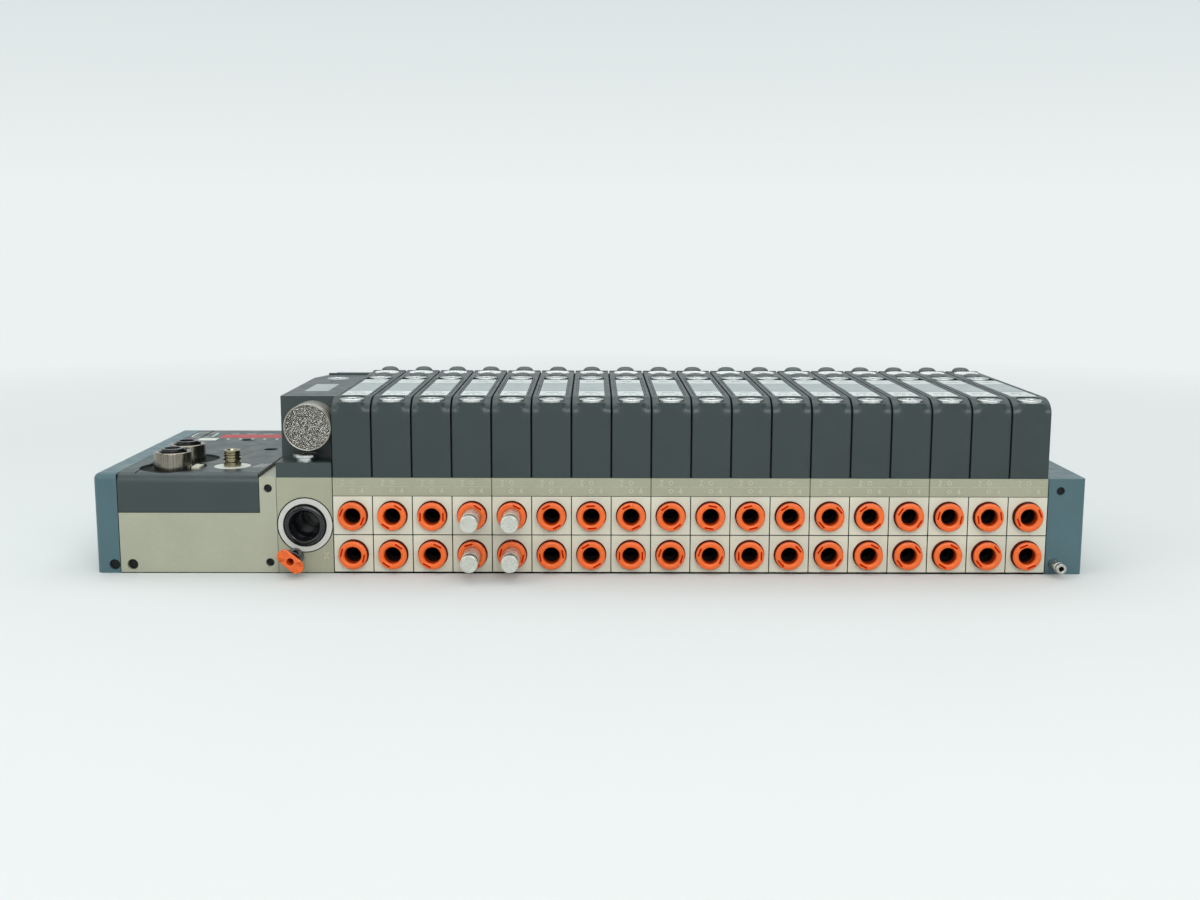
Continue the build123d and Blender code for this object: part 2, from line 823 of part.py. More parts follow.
with BuildPart() as bleed_fitting:
    bleed_axis = [(x_right_plate + bleed_position[0], bleed_position[1])]
    along_y(bleed_axis, bleed_radius, y_front - bleed_proud, y_front + bleed_seat_depth)
    along_y(
        bleed_axis,
        bleed_bore_radius,
        y_front - bleed_proud,
        y_front + bleed_seat_depth,
        Mode.SUBTRACT,
    )
bleed_fitting.part.label = "bleed_fitting"
export_step(bleed_fitting.part, "parts/bleed_fitting.step")
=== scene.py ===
import json
import math
import random

import bmesh
import bpy
from mathutils import Matrix, Vector

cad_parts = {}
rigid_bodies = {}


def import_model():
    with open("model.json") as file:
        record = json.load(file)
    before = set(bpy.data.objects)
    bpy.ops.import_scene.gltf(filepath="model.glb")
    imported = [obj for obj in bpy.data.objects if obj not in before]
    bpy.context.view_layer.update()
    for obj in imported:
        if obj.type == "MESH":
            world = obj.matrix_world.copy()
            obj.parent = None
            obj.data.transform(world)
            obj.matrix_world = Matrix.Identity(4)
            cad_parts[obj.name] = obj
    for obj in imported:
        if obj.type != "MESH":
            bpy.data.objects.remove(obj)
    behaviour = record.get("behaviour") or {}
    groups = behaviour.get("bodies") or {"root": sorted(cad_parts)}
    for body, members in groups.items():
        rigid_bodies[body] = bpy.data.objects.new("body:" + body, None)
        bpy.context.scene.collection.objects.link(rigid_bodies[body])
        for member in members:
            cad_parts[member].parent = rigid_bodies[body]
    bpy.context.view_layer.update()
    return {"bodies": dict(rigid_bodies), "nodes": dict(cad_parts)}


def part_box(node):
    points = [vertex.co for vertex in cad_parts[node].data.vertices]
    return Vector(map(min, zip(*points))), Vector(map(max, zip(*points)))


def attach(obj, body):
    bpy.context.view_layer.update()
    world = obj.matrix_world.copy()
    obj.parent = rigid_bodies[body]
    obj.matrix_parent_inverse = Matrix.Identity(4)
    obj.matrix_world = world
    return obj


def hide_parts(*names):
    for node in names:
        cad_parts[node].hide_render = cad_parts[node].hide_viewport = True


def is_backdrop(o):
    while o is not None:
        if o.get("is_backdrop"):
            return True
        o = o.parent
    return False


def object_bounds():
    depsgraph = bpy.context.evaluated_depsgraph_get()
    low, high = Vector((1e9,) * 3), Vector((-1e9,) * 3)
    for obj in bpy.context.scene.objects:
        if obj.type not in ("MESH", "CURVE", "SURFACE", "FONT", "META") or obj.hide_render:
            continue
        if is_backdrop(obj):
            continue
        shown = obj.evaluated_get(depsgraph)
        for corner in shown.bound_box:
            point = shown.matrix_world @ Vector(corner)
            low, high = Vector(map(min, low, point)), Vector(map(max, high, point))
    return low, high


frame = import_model()
nodes = frame["nodes"]
random.seed(11)
MM = 0.001
BODY = "island"

# ---- Places, read from the frame -----------------------------------------------------------------
base_low, base_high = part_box("manifold_blocks")
row_low, row_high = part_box("valve_bodies")
label_low, label_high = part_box("valve_labels")
collet_low, collet_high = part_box("port_collets")
insert_low, insert_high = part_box("port_inserts")
plug_low, plug_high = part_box("port_plugs")
lens_low, lens_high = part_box("indicator_lenses")
over_low, over_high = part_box("override_front_01")
rear_over_low, rear_over_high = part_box("override_rear_01")
head_low, head_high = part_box("electronics_cover")
shell_low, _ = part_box("connector_shells")
supply_low, supply_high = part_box("supply_block")
_, exhaust_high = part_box("exhaust_block")
muffler_low, muffler_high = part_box("exhaust_muffler")
bleed_low, bleed_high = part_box("bleed_fitting")

Y_FRONT = base_low.y
MANIFOLD_TOP = base_high.z
VALVE_TOP = label_high.z
COVER_TOP = head_high.z
SUPPLY_X = (supply_low.x + supply_high.x) / 2

STATIONS = 18
PLUGGED = (4, 5)
PITCH = 18 * MM
X_ROW = (row_low.x + row_high.x) / 2 - PITCH * STATIONS / 2
STATION_X = [X_ROW + (n + 0.5) * PITCH for n in range(STATIONS)]
COLLET_OUTER_R = 6.9 * MM
PORT_Z = (collet_low.z + COLLET_OUTER_R, collet_high.z - COLLET_OUTER_R)

SCREW_Y = {"front": Y_FRONT + 5.7 * MM, "rear": 23.5 * MM}
OVER_Y = ((over_low.y + over_high.y) / 2, (rear_over_low.y + rear_over_high.y) / 2)
LENS_Y = (lens_low.y + lens_high.y) / 2


# ---- Materials -----------------------------------------------------------------------------------
def srgb(r, g, b):
    """A colour given as 0-255 screen values, as linear RGBA."""
    def one(v):
        v /= 255
        return v / 12.92 if v <= 0.04045 else ((v + 0.055) / 1.055) ** 2.4
    return (one(r), one(g), one(b), 1.0)


def add_node(tree, kind, inputs, **settings):
    """A shader node; each input takes a value, or a link from another node's output."""
    node = tree.nodes.new(kind)
    for key, value in settings.items():
        setattr(node, key, value)
    for key, value in inputs.items():
        if isinstance(value, bpy.types.NodeSocket):
            tree.links.new(value, node.inputs[key])
        else:
            node.inputs[key].default_value = value
    return node


def ramp(tree, value, low, high, a, b):
    """Maps value from low..high to a..b, clamped."""
    return add_node(tree, "ShaderNodeMapRange", {
        "Value": value, "From Min": low, "From Max": high, "To Min": a, "To Max": b,
    }).outputs["Result"]


class Mat:
    """A Principled material with a few helpers for procedural detail.

    Its textures lie in the object's own coordinates, with a shift that differs from object to
    object, so like pieces don't repeat each other's marks.
    """

    def __init__(self, name, color, rough, metal=0.0, spec=0.5):
        self.m = bpy.data.materials.new(name)
        self.m.use_nodes = True
        self.t = self.m.node_tree
        self.bsdf = self.t.nodes["Principled BSDF"]
        self.bsdf.inputs["Base Color"].default_value = color
        self.bsdf.inputs["Roughness"].default_value = rough
        self.bsdf.inputs["Metallic"].default_value = metal
        self.bsdf.inputs["Specular IOR Level"].default_value = spec
        self.normal = None
        coord = add_node(self.t, "ShaderNodeTexCoord", {})
        info = add_node(self.t, "ShaderNodeObjectInfo", {})
        self.place = add_node(self.t, "ShaderNodeVectorMath", {
            0: coord.outputs["Object"], 1: info.outputs["Random"],
        }, operation="ADD").outputs["Vector"]

    def noise(self, scale, detail=4.0, rough=0.55, stretch=None):
        place = self.place
        if stretch:
            mapping = {"Scale": stretch, "Vector": place}
            place = add_node(self.t, "ShaderNodeMapping", mapping).outputs["Vector"]
        return add_node(self.t, "ShaderNodeTexNoise", {
            "Scale": scale, "Detail": detail, "Roughness": rough, "Vector": place,
        }).outputs["Fac"]

    def cells(self, scale):
        inputs = {"Scale": scale, "Vector": self.place}
        return add_node(self.t, "ShaderNodeTexVoronoi", inputs).outputs["Distance"]

    def mottle(self, value, low, high, dark, light):
        """Multiplies the base colour by a factor that runs from dark to light with value."""
        color = self.bsdf.inputs["Base Color"]
        before = color.links[0].from_socket if color.is_linked else color.default_value[:3]
        scaled = add_node(self.t, "ShaderNodeVectorMath", {
            0: before, "Scale": ramp(self.t, value, low, high, dark, light),
        }, operation="SCALE")
        self.t.links.new(scaled.outputs["Vector"], color)

    def vary_rough(self, value, low, high, a, b):
        self.t.links.new(ramp(self.t, value, low, high, a, b), self.bsdf.inputs["Roughness"])

    def bump(self, value, strength, distance):
        """Adds relief on top of the relief so far."""
        inputs = {"Strength": strength, "Distance": distance, "Height": value}
        if self.normal is not None:
            inputs["Normal"] = self.normal
        self.normal = add_node(self.t, "ShaderNodeBump", inputs).outputs["Normal"]
        self.t.links.new(self.normal, self.bsdf.inputs["Normal"])


def textured_paint(name, color, rough, grain, grit, spec=0.5):
    """Fine textured paint or moulded plastic: soft mottling, pin-fine grain, uneven gloss."""
    m = Mat(name, srgb(*color), rough, spec=spec)
    fine = m.noise(grain, 3)
    m.mottle(m.noise(38, 5), 0.3, 0.7, 0.93, 1.06)
    m.mottle(fine, 0.25, 0.75, 0.94, 1.06)
    m.vary_rough(m.noise(160, 4), 0.3, 0.7, rough - 0.06, rough + 0.08)
    m.bump(fine, grit, 0.00006)
    return m


def metal(name, color, rough, streak, stretch, wear=0.1, low=0.9, high=1.08, share=1.0):
    """Metal with streaks along the axis that is stretched, and soft wear."""
    m = Mat(name, srgb(*color), rough, metal=share)
    brushed = m.noise(streak, 6, 0.6, stretch)
    m.mottle(m.noise(180, 4), 0.3, 0.7, 1 - wear, 1 + wear)
    m.mottle(brushed, 0.3, 0.7, low, high)
    m.vary_rough(brushed, 0.25, 0.75, rough - 0.07, rough + 0.1)
    m.bump(brushed, 0.25, 0.00003)
    return m


# Name, colour, roughness, grain scale, grit, specular level
PAINTS = {
    "valve": ("valve_slate", (38, 50, 51), 0.38, 2600, 0.35),
    "cover": ("cover_slate", (46, 58, 58), 0.38, 2600, 0.35),
    "plate": ("plate_blue", (70, 99, 106), 0.36, 2400, 0.35, 0.45),
    "beige": ("beige_paint", (162, 164, 145), 0.4, 1800, 0.3),
    "beige_block": ("beige_block", (157, 158, 136), 0.4, 1800, 0.3),
    # Painted highlight: a lighter beige for the raised marks, standing for the light on their
    # relief
    "beige_raised": ("beige_raised", (180, 181, 156), 0.5, 1800, 0.3),
    "ivory": ("ivory_plastic", (206, 205, 188), 0.42, 2200, 0.2),
    "orange": ("orange_plastic", (232, 100, 30), 0.3, 2400, 0.1),
    # Painted shade: the collet's inner wall, darker than its orange, stands for the shade inside
    # the bore
    "lip": ("orange_throat", (150, 46, 14), 0.55, 2400, 0.1, 0.2),
    "orange_mark": ("orange_engraved", (166, 26, 2), 0.7, 2400, 0.15, 0.0),
    "black": ("black_plastic", (20, 21, 24), 0.17, 2400, 0.1),
    # Black rubber for the supply seals and cover joints, and painted shade in the gaps between the
    # valves, under the base and round the inserts
    "rubber": ("gasket_rubber", (14, 15, 16), 0.85, 1500, 0.4, 0.15),
    "button": ("override_grey", (66, 76, 74), 0.36, 2600, 0.25),
    # Painted shade: near-black for slots, bores and grooves, standing for the shade inside them
    "recess_shade": ("dark_recess", (12, 13, 14), 0.9, 900, 0.2, 0.08),
    "well": ("well_floor", (40, 44, 44), 0.8, 900, 0.2, 0.15),
    "grey_ring": ("grey_ring_plastic", (196, 196, 190), 0.42, 2200, 0.2),
    "red": ("red_print", (168, 62, 64), 0.55, 2200, 0.1),
    "board": ("board_green", (34, 92, 58), 0.45, 900, 0.2),
    "lens": ("lens_frosted", (228, 232, 230), 0.25, 1400, 0.1),
    "label_pale": ("label_pale", (202, 209, 207), 0.35, 1200, 0.1),
    "label_grey": ("label_grey", (158, 167, 166), 0.33, 1200, 0.1),
    "label_print": ("label_print", (136, 144, 143), 0.45, 1500, 0.1),
    "ink": ("ink_grey", (92, 100, 100), 0.5, 1500, 0.1),
    "white_print": ("white_print", (206, 210, 204), 0.5, 1500, 0.1),
    # Near-black: in the ports it is the dark inner parts and also painted shade deep in the bore;
    # it also marks the supply collet's two bars
    "throat": ("port_throat", (26, 19, 18), 0.7, 1500, 0.3, 0.1),
    # Painted shade: the dark red-brown ring round the collet's neck stands for the shaded gap under
    # the flange
    "seal": ("port_seal", (84, 26, 12), 0.8, 1500, 0.3, 0.1),
}
# Name, colour, roughness, streak scale, stretch, wear, darkest and lightest streak, metallic share
METALS = {
    "screw": ("zinc_screw", (206, 209, 207), 0.27, 900, (1, 1, 1), 0.06, 0.82, 1.06),
    # Partly painted reflection: brushed streaks run down the shells, their strong contrast standing
    # for reflections on a round shell
    "nickel": ("brushed_nickel", (138, 133, 122), 0.2, 1100, (1, 1, 0.02), 0.1, 0.6, 1.3),
    "neck": ("bronze_nickel", (154, 145, 120), 0.2, 900, (1, 1, 1)),
    "plug": ("plug_nickel", (198, 199, 190), 0.26, 260, (1, 1, 1), 0.03, 0.97, 1.03, 0.55),
    # Painted shade: the plug's groove is dark metal, standing for the shade in the groove
    "plug_groove": ("plug_groove", (52, 44, 38), 0.4, 260, (1, 1, 1), 0.03, 0.97, 1.03, 0.5),
    "wall": ("turned_steel", (166, 163, 154), 0.3, 900, (1, 0.03, 1), 0.1, 0.75, 1.2, 0.5),
    "dark_screw": ("blackened_screw", (44, 45, 46), 0.42, 900, (1, 1, 1)),
    "fitting": ("bleed_steel", (190, 188, 182), 0.22, 900, (1, 0.05, 1)),
}
M = {key: textured_paint(*row) for key, row in PAINTS.items()}
M.update({key: metal(*row) for key, row in METALS.items()})
M["lens"].bsdf.inputs["Subsurface Weight"].default_value = 0.15
M["lens"].bsdf.inputs["Subsurface Radius"].default_value = (0.002, 0.002, 0.002)

sinter = Mat("sintered_steel", srgb(208, 204, 194), 0.26, metal=0.85)
# Bright grain centres and near-black gaps between the grains are painted highlight and painted
# shade
grains = sinter.cells(2700)
sinter.mottle(grains, 0.12, 0.52, 2.3, 0.12)
sinter.mottle(sinter.noise(1700, 3), 0.42, 0.58, 0.6, 1.7)
sinter.bump(grains, 1.0, 0.0006)
sinter.bump(sinter.noise(1700, 2), 1.0, 0.0004)
M["sinter"] = sinter


# ---- The CAD nodes' looks ------------------------------------------------------------------------
def frame_body(name):
    """The body that a CAD node rides on."""
    parent = nodes[name].parent
    for body, empty in frame["bodies"].items():
        if empty == parent:
            return body
    return BODY


def dress(name, key):
    """Gives a CAD node its material."""
    materials = nodes[name].data.materials
    materials.clear()
    materials.append(M[key].m)


def soften(name, width):
    """Small edge rounding on a CAD node, as modifiers; width in mm."""
    stack = nodes[name].modifiers
    weld = stack.new("weld", "WELD")
    weld.merge_threshold = 0.000002
    bevel = stack.new("edges", "BEVEL")
    bevel.width = width * MM
    bevel.segments = 2
    bevel.limit_method = "ANGLE"
    bevel.angle_limit = math.radians(32)
    bevel.use_clamp_overlap = True
    shade = stack.new("shade", "WEIGHTED_NORMAL")
    shade.keep_sharp = True
    shade.weight = 50


for node, key in {
    "left_end_plate": "plate", "right_end_plate": "plate", "electronics_housing": "beige",
    "electronics_cover": "cover", "circuit_board": "board", "supply_block": "beige_block",
    "supply_sleeve": "grey_ring", "supply_collet": "black", "pilot_fitting": "black",
    "pilot_release_button": "orange", "exhaust_block": "cover", "exhaust_muffler": "wall",
    "manifold_blocks": "beige_block", "port_inserts": "ivory", "port_collets": "orange",
    "port_plugs": "plug", "valve_bodies": "valve", "valve_labels": "label_pale",
    "module_screws": "screw", "indicator_lenses": "lens", "housing_screws": "dark_screw",
    "bleed_fitting": "fitting", "connector_shells": "nickel", "connector_inserts": "black",
}.items():
    dress(node, key)
for n in range(1, STATIONS + 1):
    dress(f"override_front_{n:02d}", "button")
    dress(f"override_rear_{n:02d}", "button")

for node, width in {
    "left_end_plate": 0.5, "right_end_plate": 1.5, "electronics_housing": 0.3,
    "electronics_cover": 0.4, "supply_block": 0.3, "supply_sleeve": 0.25, "exhaust_block": 0.3,
    "manifold_blocks": 0.3, "port_inserts": 0.3, "pilot_release_button": 0.35,
    "pilot_fitting": 0.3, "bleed_fitting": 0.2,
}.items():
    soften(node, width)


# ---- Mesh helpers --------------------------------------------------------------------------------
def mm(*points, up=0.0):
    """Points given in millimetres, in metres, with their last coordinate raised by up."""
    return [(*(v * MM for v in p[:-1]), p[-1] * MM + up) for p in points]


def at(x, y, z):
    return Matrix.Translation((x, y, z))


def facing(x, y, z):
    """A place on a front face: local Z points to -Y, out of the face."""
    return at(x, y, z) @ Matrix.Rotation(math.radians(90), 4, "X")


def turned(angle):
    return Matrix.Rotation(angle, 4, "Z")


def shift(bm, start, x, y):
    """Moves the vertices made since the count was start."""
    bm.verts.ensure_lookup_table()
    for v in bm.verts[start:]:
        v.co += Vector((x, y, 0))


def mesh_from(bm, name, smooth_angle=38):
    """Turns what was built into a shaded mesh."""
    bmesh.ops.recalc_face_normals(bm, faces=bm.faces)
    mesh = bpy.data.meshes.new(name)
    bm.to_mesh(mesh)
    bm.free()
    return shaded(mesh, smooth_angle)


def shaded(mesh, smooth_angle):
    """Smooth faces, with sharp edges past an angle in degrees."""
    for p in mesh.polygons:
        p.use_smooth = True
    mesh.set_sharp_from_angle(angle=math.radians(smooth_angle))
    return mesh


def add_mesh(name, mesh, keys, place=None, body=BODY):
    """Links a mesh as a piece that rides on a body."""
    o = bpy.data.objects.new(name, mesh)
    bpy.context.scene.collection.objects.link(o)
    if not mesh.materials:
        for key in keys:
            mesh.materials.append(M[key].m)
    if place is not None:
        o.matrix_world = place
    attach(o, body)
    return o


def lathe(bm, profile, segments, material=0, close=True):
    """Revolves (radius, height) points about local Z; a closed profile gives a solid ring."""
    rings = []
    for r, h in profile:
        if r < 1e-7:
            rings.append([bm.verts.new((0, 0, h))])
        else:
            rings.append([
                bm.verts.new((r * math.cos(a), r * math.sin(a), h))
                for a in (2 * math.pi * k / segments for k in range(segments))
            ])
    pairs = list(zip(rings, rings[1:]))
    if close:
        pairs.append((rings[-1], rings[0]))
    for a, b in pairs:
        for k in range(segments):
            n = (k + 1) % segments
            quad = [a[k % len(a)], a[n % len(a)], b[n % len(b)], b[k % len(b)]]
            corners = []
            for v in quad:
                if v not in corners:
                    corners.append(v)
            if len(corners) > 2:
                bm.faces.new(corners).material_index = material


def disc_ring(bm, centre, inner, outer, low, high, segments, material=0):
    start = len(bm.verts)
    profile = [(inner, low), (outer, low), (outer, high), (inner, high)]
    lathe(bm, profile, segments, material)
    shift(bm, start, *centre)


def plate(bm, low, high, bevel=0.0, material=0):
    """A box with rounded edges between two corners."""
    made = bmesh.ops.create_cube(bm, size=1.0)
    size = [b - a for a, b in zip(low, high)]
    mid = [(a + b) / 2 for a, b in zip(low, high)]
    for v in made["verts"]:
        v.co = Vector([c * s + m for c, s, m in zip(v.co, size, mid)])
    for f in {f for v in made["verts"] for f in v.link_faces}:
        f.material_index = material
    if bevel:
        edges = dict.fromkeys(e for v in made["verts"] for e in v.link_edges)
        bmesh.ops.bevel(
            bm, geom=list(edges), offset=bevel, segments=2, affect="EDGES", profile=0.5,
        )
    return made["verts"]


def stroke(bm, a, b, width, height):
    """A raised straight stroke in the local XY plane."""
    a, b = Vector(a), Vector(b)
    along = (b - a).normalized() * width / 2
    side = Vector((-along.y, along.x))
    a, b = a - along, b + along
    corners = [a + side, a - side, b - side, b + side]
    low = [bm.verts.new((c.x, c.y, -0.05 * MM)) for c in corners]
    high = [bm.verts.new((c.x, c.y, height)) for c in corners]
    bm.faces.new(high)
    bm.faces.new(low[::-1])
    for k in range(4):
        n = (k + 1) % 4
        bm.faces.new((low[k], low[n], high[n], high[k]))


def add_boxes(name, boxes, key):
    """Plain boxes, as pairs of corners, in one piece."""
    bm = bmesh.new()
    for low, high in boxes:
        plate(bm, low, high)
    return add_mesh(name, mesh_from(bm, name), [key])


def add_black_ring(name, profile, segments, key, place, close=True):
    """One turned profile as a piece of black plastic or rubber."""
    bm = bmesh.new()
    lathe(bm, profile, segments, close=close)
    return add_mesh(name, mesh_from(bm, name), [key], place)


# ---- Push-in collets -----------------------------------------------------------------------------
def collet_mesh():
    """A release collet in its port: rounded flange, an inner wall painted darker orange as the
    shade in the bore, a near-black throat with its steps, and a dark ring round the neck that is
    painted shade.
    """
    bm = bmesh.new()
    lathe(bm, mm(
        (3.85, 1.1), (3.85, 2.75), (4.1, 3.2), (4.45, 3.44), (4.7, 3.5), (5.75, 3.5), (6.15, 3.4),
        (6.42, 3.1), (6.48, 2.6), (6.3, 2.25), (5.3, 2.0), (5.2, 0.2), (4.6, 0.1), (4.5, 1.0),
    ), 48)
    # The inner wall takes the darker orange: painted shade in the bore
    lathe(bm, mm((3.86, 1.9), (3.72, 1.6), (3.72, -1.6)), 40, 1, close=False)
    # The throat is near-black: dark inner parts, and painted shade deep in the bore
    lathe(bm, mm(
        (3.72, -1.6), (3.35, -2.4), (3.35, -3.4), (3.8, -3.8), (3.8, -7.4), (2.9, -8), (2.9, -14),
        (0, -14),
    ), 40, 2, close=False)
    # A dark ring on the insert's face round the neck: painted shade in the gap under the flange
    lathe(bm, mm((5.25, 0.02), (5.25, 0.4), (6.6, 0.4), (6.85, 0.25), (6.9, 0.02)), 48, 3)
    return mesh_from(bm, "collet")


def bars_mesh():
    """The two bars engraved across a collet's flange."""
    bm = bmesh.new()
    for y in (-5.15, 5.15):
        plate(bm, *mm((-1.95, y - 0.38, 3.2), (1.95, y + 0.38, 3.515)))
    return mesh_from(bm, "collet_bars")


COLLET = collet_mesh()
BARS = bars_mesh()
COLLET_TURNS = (  # the bars' angles in degrees, lower row first
    (165, 55, 61, 107, 165, 10, 121, 0, 164, 160, 0, 41, 146, 62, 38, 61, 40, 113),
    (157, 56, 0, 58, 63, 118, 94, 116, 124, 81, 105, 123, 41, 129, 147, 169, 9, 23),
)
for row, z in enumerate(PORT_Z):
    for n, x in enumerate(STATION_X, start=1):
        place = facing(x, Y_FRONT, z)
        piece = add_mesh(
            f"collet_{row + 1}_{n:02d}", COLLET, ["orange", "lip", "throat", "seal"],
            place,
        )
        bars_place = place @ turned(math.radians(COLLET_TURNS[row][n - 1] - 90))
        add_mesh(
            f"collet_bars_{row + 1}_{n:02d}", BARS, ["orange_mark"], bars_place,
        )
        if row == 0 and n == 1:
            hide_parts("port_collets")


# ---- Plugs in the ports of two stations ----------------------------------------------------------
def plug_mesh(length):
    """A turned plug: chamfered face with a faint lathe ring, a pull groove painted dark as its
    shade, and a long shank.
    """
    bm = bmesh.new()
    r = 4.0 * MM
    lathe(bm, mm(
        (0, 0), (0.5, -0.03), (3.2, -0.03), (3.45, 0), (3.6, 0), (3.92, -0.2), (4.0, -0.5),
        (4.0, -2.15), (3.8, -2.4),
    ), 48, close=False)
    # The groove takes the dark metal: painted shade
    lathe(bm, mm((3.8, -2.4), (3.3, -2.5), (3.3, -5.15), (3.8, -5.3)), 48, 1, close=False)
    lathe(bm, mm((3.8, -5.3), (4.0, -5.5)) + [(r, -length), (0, -length)], 48, close=False)
    return mesh_from(bm, "plug", 28)


PLUG = plug_mesh(plug_high.y - plug_low.y)
for row, z in enumerate(PORT_Z):
    for n in PLUGGED:
        piece = add_mesh(
            f"plug_{row + 1}_{n:02d}", PLUG, ["plug", "plug_groove"],
            facing(STATION_X[n - 1], plug_low.y, z),
        )
        if (row, n) == (0, PLUGGED[0]):
            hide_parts("port_plugs")

# ---- Valve bodies --------------------------------------------------------------------------------
SHOULDER_BACK, SHOULDER_DROP, SHOULDER_STEPS = 11.0, 6.8, 14  # mm, mm
CROWN_DROP = 1.9  # mm below the top: above it the boss is rounded too
BOSS_HALF, BOSS_FADE = 4.2 * MM, 2.6 * MM
REAR_LIP = [(-11.2, 0), (-11.0, 0.3), (-9.4, 0.3), (-9.2, -0.02)]  # mm from the rear top corner
REAR_FALL = [(-3.2, -1.08), (-1.9, -1.4), (-0.9, -2.0), (-0.25, -3.0), (0, -4.2)]


def valve_mesh():
    """One valve body: soft shoulders run back beside the screw's boss, which stays flush.

    The side view's points go round from the front's foot, over the top, to the rear's foot. Each is
    (depth, height, whether the boss stays flush there), and becomes a row of vertices across.
    """
    half = (row_high.x - row_low.x - (STATIONS - 1) * PITCH) / 2 - 0.13 * MM
    base, top = row_low.z, VALVE_TOP
    depth = row_high.y - row_low.y
    arc = [math.pi / 2 * k / SHOULDER_STEPS for k in range(SHOULDER_STEPS + 1)]
    side = [(0, base, True), (0, top - 20 * MM, True), (0, top - 9 * MM, True)]
    for a in arc:
        back = SHOULDER_BACK * (1 - math.cos(a))
        drop = SHOULDER_DROP * (1 - math.sin(a))
        side.append((back * MM, top - drop * MM, drop > CROWN_DROP))
    side += [(depth + d * MM, top + z * MM, False) for d, z in REAR_LIP + REAR_FALL]
    side.append((depth, base, False))

    columns = [-half, -half + 0.12 * MM, -half + 0.4 * MM]
    columns += [-c * MM for c in (7.6, 7.0, 6.4, 5.8, 5.2, 4.6, 4.0, 2.0)]
    columns += [0] + [-c for c in reversed(columns)]
    inset = [0.4 * MM, 0.12 * MM] + [0] * (len(columns) - 4) + [0.12 * MM, 0.4 * MM]
    bm = bmesh.new()
    rows = []
    for k, (d, z, flush) in enumerate(side):
        before = side[max(k - 1, 0)]
        after = side[min(k + 1, len(side) - 1)]
        along = Vector((after[0] - before[0], after[1] - before[1])).normalized()
        inward = Vector((along.y, -along.x))
        row = []
        for x, shrink in zip(columns, inset):
            w = min(max((abs(x) - BOSS_HALF) / BOSS_FADE, 0), 1)
            w = w * w * (3 - 2 * w)
            run = d * w if flush else d
            rise = 0 if k in (0, len(side) - 1) else inward.y * shrink
            row.append(bm.verts.new((x, row_low.y + run + inward.x * shrink, z + rise)))
        rows.append(row)
    for a, b in zip(rows, rows[1:] + rows[:1]):
        for k in range(len(columns) - 1):
            bm.faces.new((a[k], a[k + 1], b[k + 1], b[k]))
    bm.faces.new([r[0] for r in rows])
    bm.faces.new([r[-1] for r in reversed(rows)])
    return mesh_from(bm, "valve")


def pocket(y, radius, depth, x=0):
    """A cylinder that cuts a round pocket in the valve's top; sizes in mm, y in metres."""
    bottom, clear = VALVE_TOP - depth * MM, VALVE_TOP + 2 * MM
    return (x * MM, y, radius * MM, bottom, clear)


def channel(left, right, start, end, depth):
    """A box that cuts a channel, in mm; start is measured from the label's front end."""
    return (
        (left * MM, label_low.y + start * MM, VALVE_TOP - depth * MM),
        (right * MM, end * MM, VALVE_TOP + 2 * MM),
    )


def cutter(cylinders, boxes):
    """Everything that is cut from a valve's top, as one mesh."""
    bm = bmesh.new()
    for x, y, r, low, high in cylinders:
        start = len(bm.verts)
        lathe(bm, [(0, low), (r, low), (r, high), (0, high)], 48, close=False)
        shift(bm, start, x, y)
    for low, high in boxes:
        plate(bm, low, high)
    return mesh_from(bm, "cutter")


def carve(mesh, cut):
    """The mesh less the cutter, as a new mesh."""
    a = bpy.data.objects.new("carved", mesh)
    b = bpy.data.objects.new("cutter", cut)
    for o in (a, b):
        bpy.context.scene.collection.objects.link(o)
    m = a.modifiers.new("cut", "BOOLEAN")
    m.operation, m.solver, m.object, m.use_self = "DIFFERENCE", "EXACT", b, True
    bpy.context.view_layer.update()
    result = a.evaluated_get(bpy.context.evaluated_depsgraph_get())
    done = bpy.data.meshes.new_from_object(result)
    for o in (a, b):
        bpy.data.objects.remove(o)
    done.name = mesh.name
    return shaded(done, 34)


VALVE = carve(valve_mesh(), cutter(
    [
        pocket(SCREW_Y["front"], 5.8, 2.05), pocket(SCREW_Y["rear"], 5.85, 0.95),
        pocket(OVER_Y[0], 4.85, 6), pocket(OVER_Y[1], 4.85, 6),
        pocket(LENS_Y, 6.4, 0.62), pocket(29.5 * MM, 0.75, 2.5, x=-6.3),
    ],
    [
        channel(-7.25, -6.95, 2, 20.0, 0.35), channel(6.95, 7.25, 2, 20.0, 0.35),
        channel(-6.25, 6.25, -0.25, 22.0, 0.82),
    ],
))
for n, x in enumerate(STATION_X, start=1):
    piece = add_mesh(f"valve_{n:02d}", VALVE, ["valve"], at(x, 0, 0))
    if n == 1:
        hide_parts("valve_bodies")


# ---- Screws on the valve tops --------------------------------------------------------------------
def screw_mesh(collar, foot, edge=0.85):
    """A wide flat screw head with a groove, a shallow dish and a cross of slots, which are
    near-black bars of painted shade.

    In mm: how far down the collar reaches, the collar's radius and the head's thickness.
    """
    bm = bmesh.new()
    lathe(bm, mm(
        (0, -0.28), (2.6, -0.28), (2.9, -0.08), (4.3, -0.04), (4.55, -0.3), (4.75, -0.3),
        (4.95, -0.03), (5.35, 0), (5.65, -0.2), (5.65, 0.15 - edge), (5.45, -edge),
        (foot, -edge - 0.05), (foot, -collar), (0, -collar),
    ), 48, close=False)
    for angle in (0, 90):
        # The slots are near-black bars on the dish: painted shade
        verts = plate(bm, *mm((-2.5, -0.36, -0.5), (2.5, 0.36, -0.262)), material=1)
        slot_turn = Matrix.Rotation(math.radians(angle), 3, "Z")
        bmesh.ops.rotate(bm, verts=verts, cent=(0, 0, 0), matrix=slot_turn)
    return mesh_from(bm, "screw", 30)


def add_screw(name, mesh, place, angle):
    return add_mesh(name, mesh, ["screw", "recess_shade"], place @ turned(angle))


